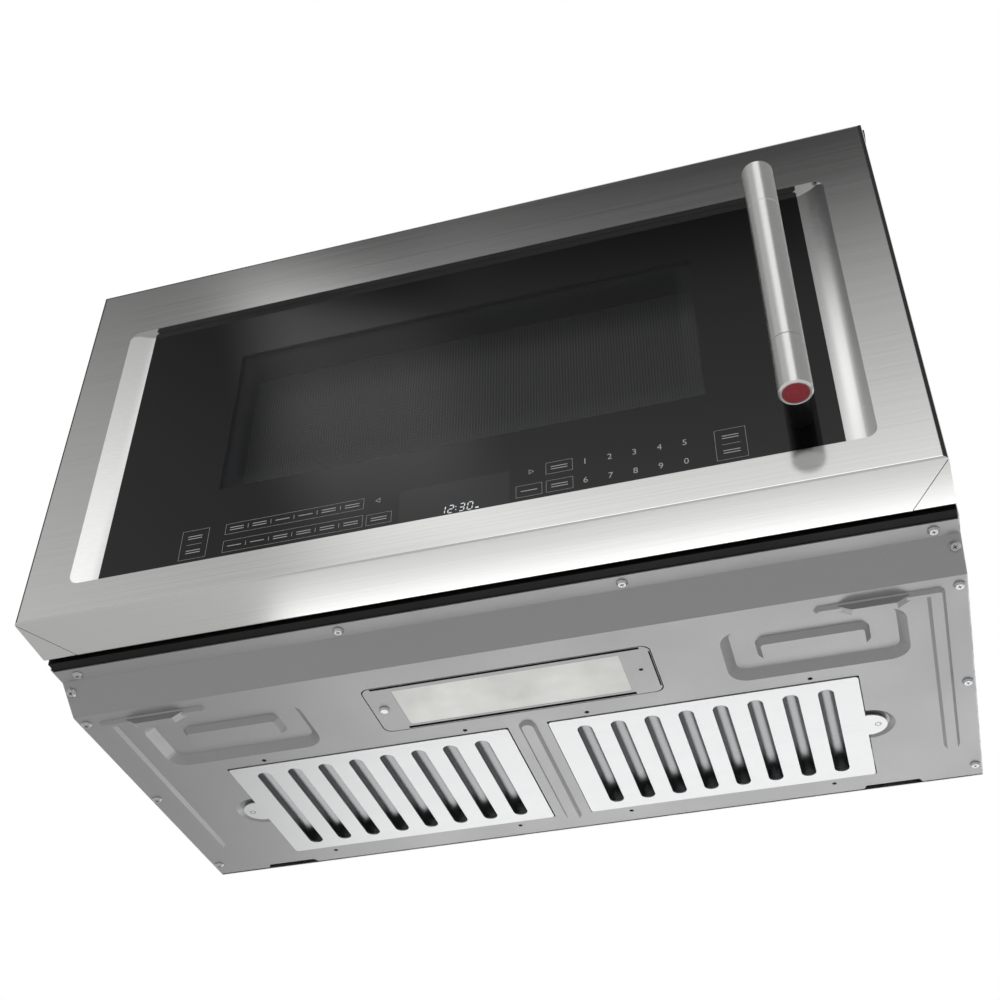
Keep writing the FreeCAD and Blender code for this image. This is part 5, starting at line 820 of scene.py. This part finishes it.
crosses = []
screws = parts["base_screws"].data
for faces in separate_solids(screws):
    areas = {}
    for face in faces:
        key = tuple(round(v, 2) for v in face.normal)
        areas[key] = areas.get(key, 0.0) + face.area
    out = -Vector(max(areas, key=areas.get)).normalized()
    corners = {tuple(round(c, 6) for c in screws.vertices[i].co) for face in faces for i in face.vertices}
    corners = [Vector(corner) for corner in sorted(corners)]
    top = max(corner.dot(out) for corner in corners)
    rim = [corner for corner in corners if corner.dot(out) > top - TOP_BAND]
    middle = sum(rim, Vector()) / len(rim) + out * MARK_LIFT
    side = out.cross(CROSS_TURN).normalized()
    up = out.cross(side)
    crosses += [[middle + u * a * CROSS_HALF + v * b * CROSS_WIDTH / 2 for a, b in SQUARE]
                for u, v in ((side, up), (up, side))]
marks("screw_crosses", crosses, recess_shade, "cabinet")
print("crosses:", len(crosses) // 2)

# %% Filter tabs and the painted shadow round the lamp cover
def ring(x, y, z, radius, width, steps=20):
    """A flat ring of short four-sided faces."""
    turns = [2 * math.pi * i / steps for i in range(steps + 1)]
    around = [(math.cos(turn), math.sin(turn)) for turn in turns]
    outer = radius + width
    return [[(x + c * r, y + s * r, z) for (c, s), r in ((a, radius), (b, radius), (b, outer), (a, outer))]
            for a, b in zip(around, around[1:])]


def strip(x0, x1, y0, y1, z):
    """A flat rectangle that faces down."""
    return [(x0, y0, z), (x0, y1, z), (x1, y1, z), (x1, y0, z)]


TAB_RUN = 78.5 * MM       # front edge of the plate to the middle of its tab
TAB_IN = 8.0 * MM         # tip of the tab to its dimple
DIMPLE_RADIUS, DIMPLE_WIDTH = 2.2 * MM, 0.6 * MM
for side, sign in (("right", 1), ("left", -1)):
    low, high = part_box("filter_plate_" + side)
    tip = high[0] if sign > 0 else low[0]
    dimple = ring(tip - sign * TAB_IN, low[1] + TAB_RUN, low[2] - MARK_LIFT, DIMPLE_RADIUS, DIMPLE_WIDTH)
    marks("tab_dimple_" + side, dimple, recess_shade, "filter_" + side)

# The strips below are painted shadow: EDGE is from a joint to its strip, and CORNER is where a strip stops
# short of a rounded corner.
EDGE = 0.3 * MM           # from a joint to its foam
CORNER = 8 * MM           # foam stops this far from a rounded corner
low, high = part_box("lamp_cover")
lens_low, lens_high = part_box("lamp_lens")
z = low[2] - MARK_LIFT
joint_shadow_strips = [strip(low[0] + CORNER, high[0] - CORNER, low[1] + EDGE, low[1] + 3.0 * MM, z),
               strip(high[0] - 1.6 * MM, high[0] - EDGE, low[1] + CORNER, high[1] - CORNER, z),
               strip(lens_low[0], lens_high[0], lens_high[1] - 0.5 * MM, lens_high[1] + 2.8 * MM, z)]
marks("lamp_joint_shadow", joint_shadow_strips, joint_shadow, "lamp_cover")
print("foam strips:", len(joint_shadow_strips))

# %% Sizes and the closing line
dressed_box = [list(corner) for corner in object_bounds()]
growth = [max(abs(a - b) for a, b in zip(low, new)) for low, new in zip(cad_box, dressed_box)]
print("largest change of the box:", round(max(growth) * 1000, 3), "mm")
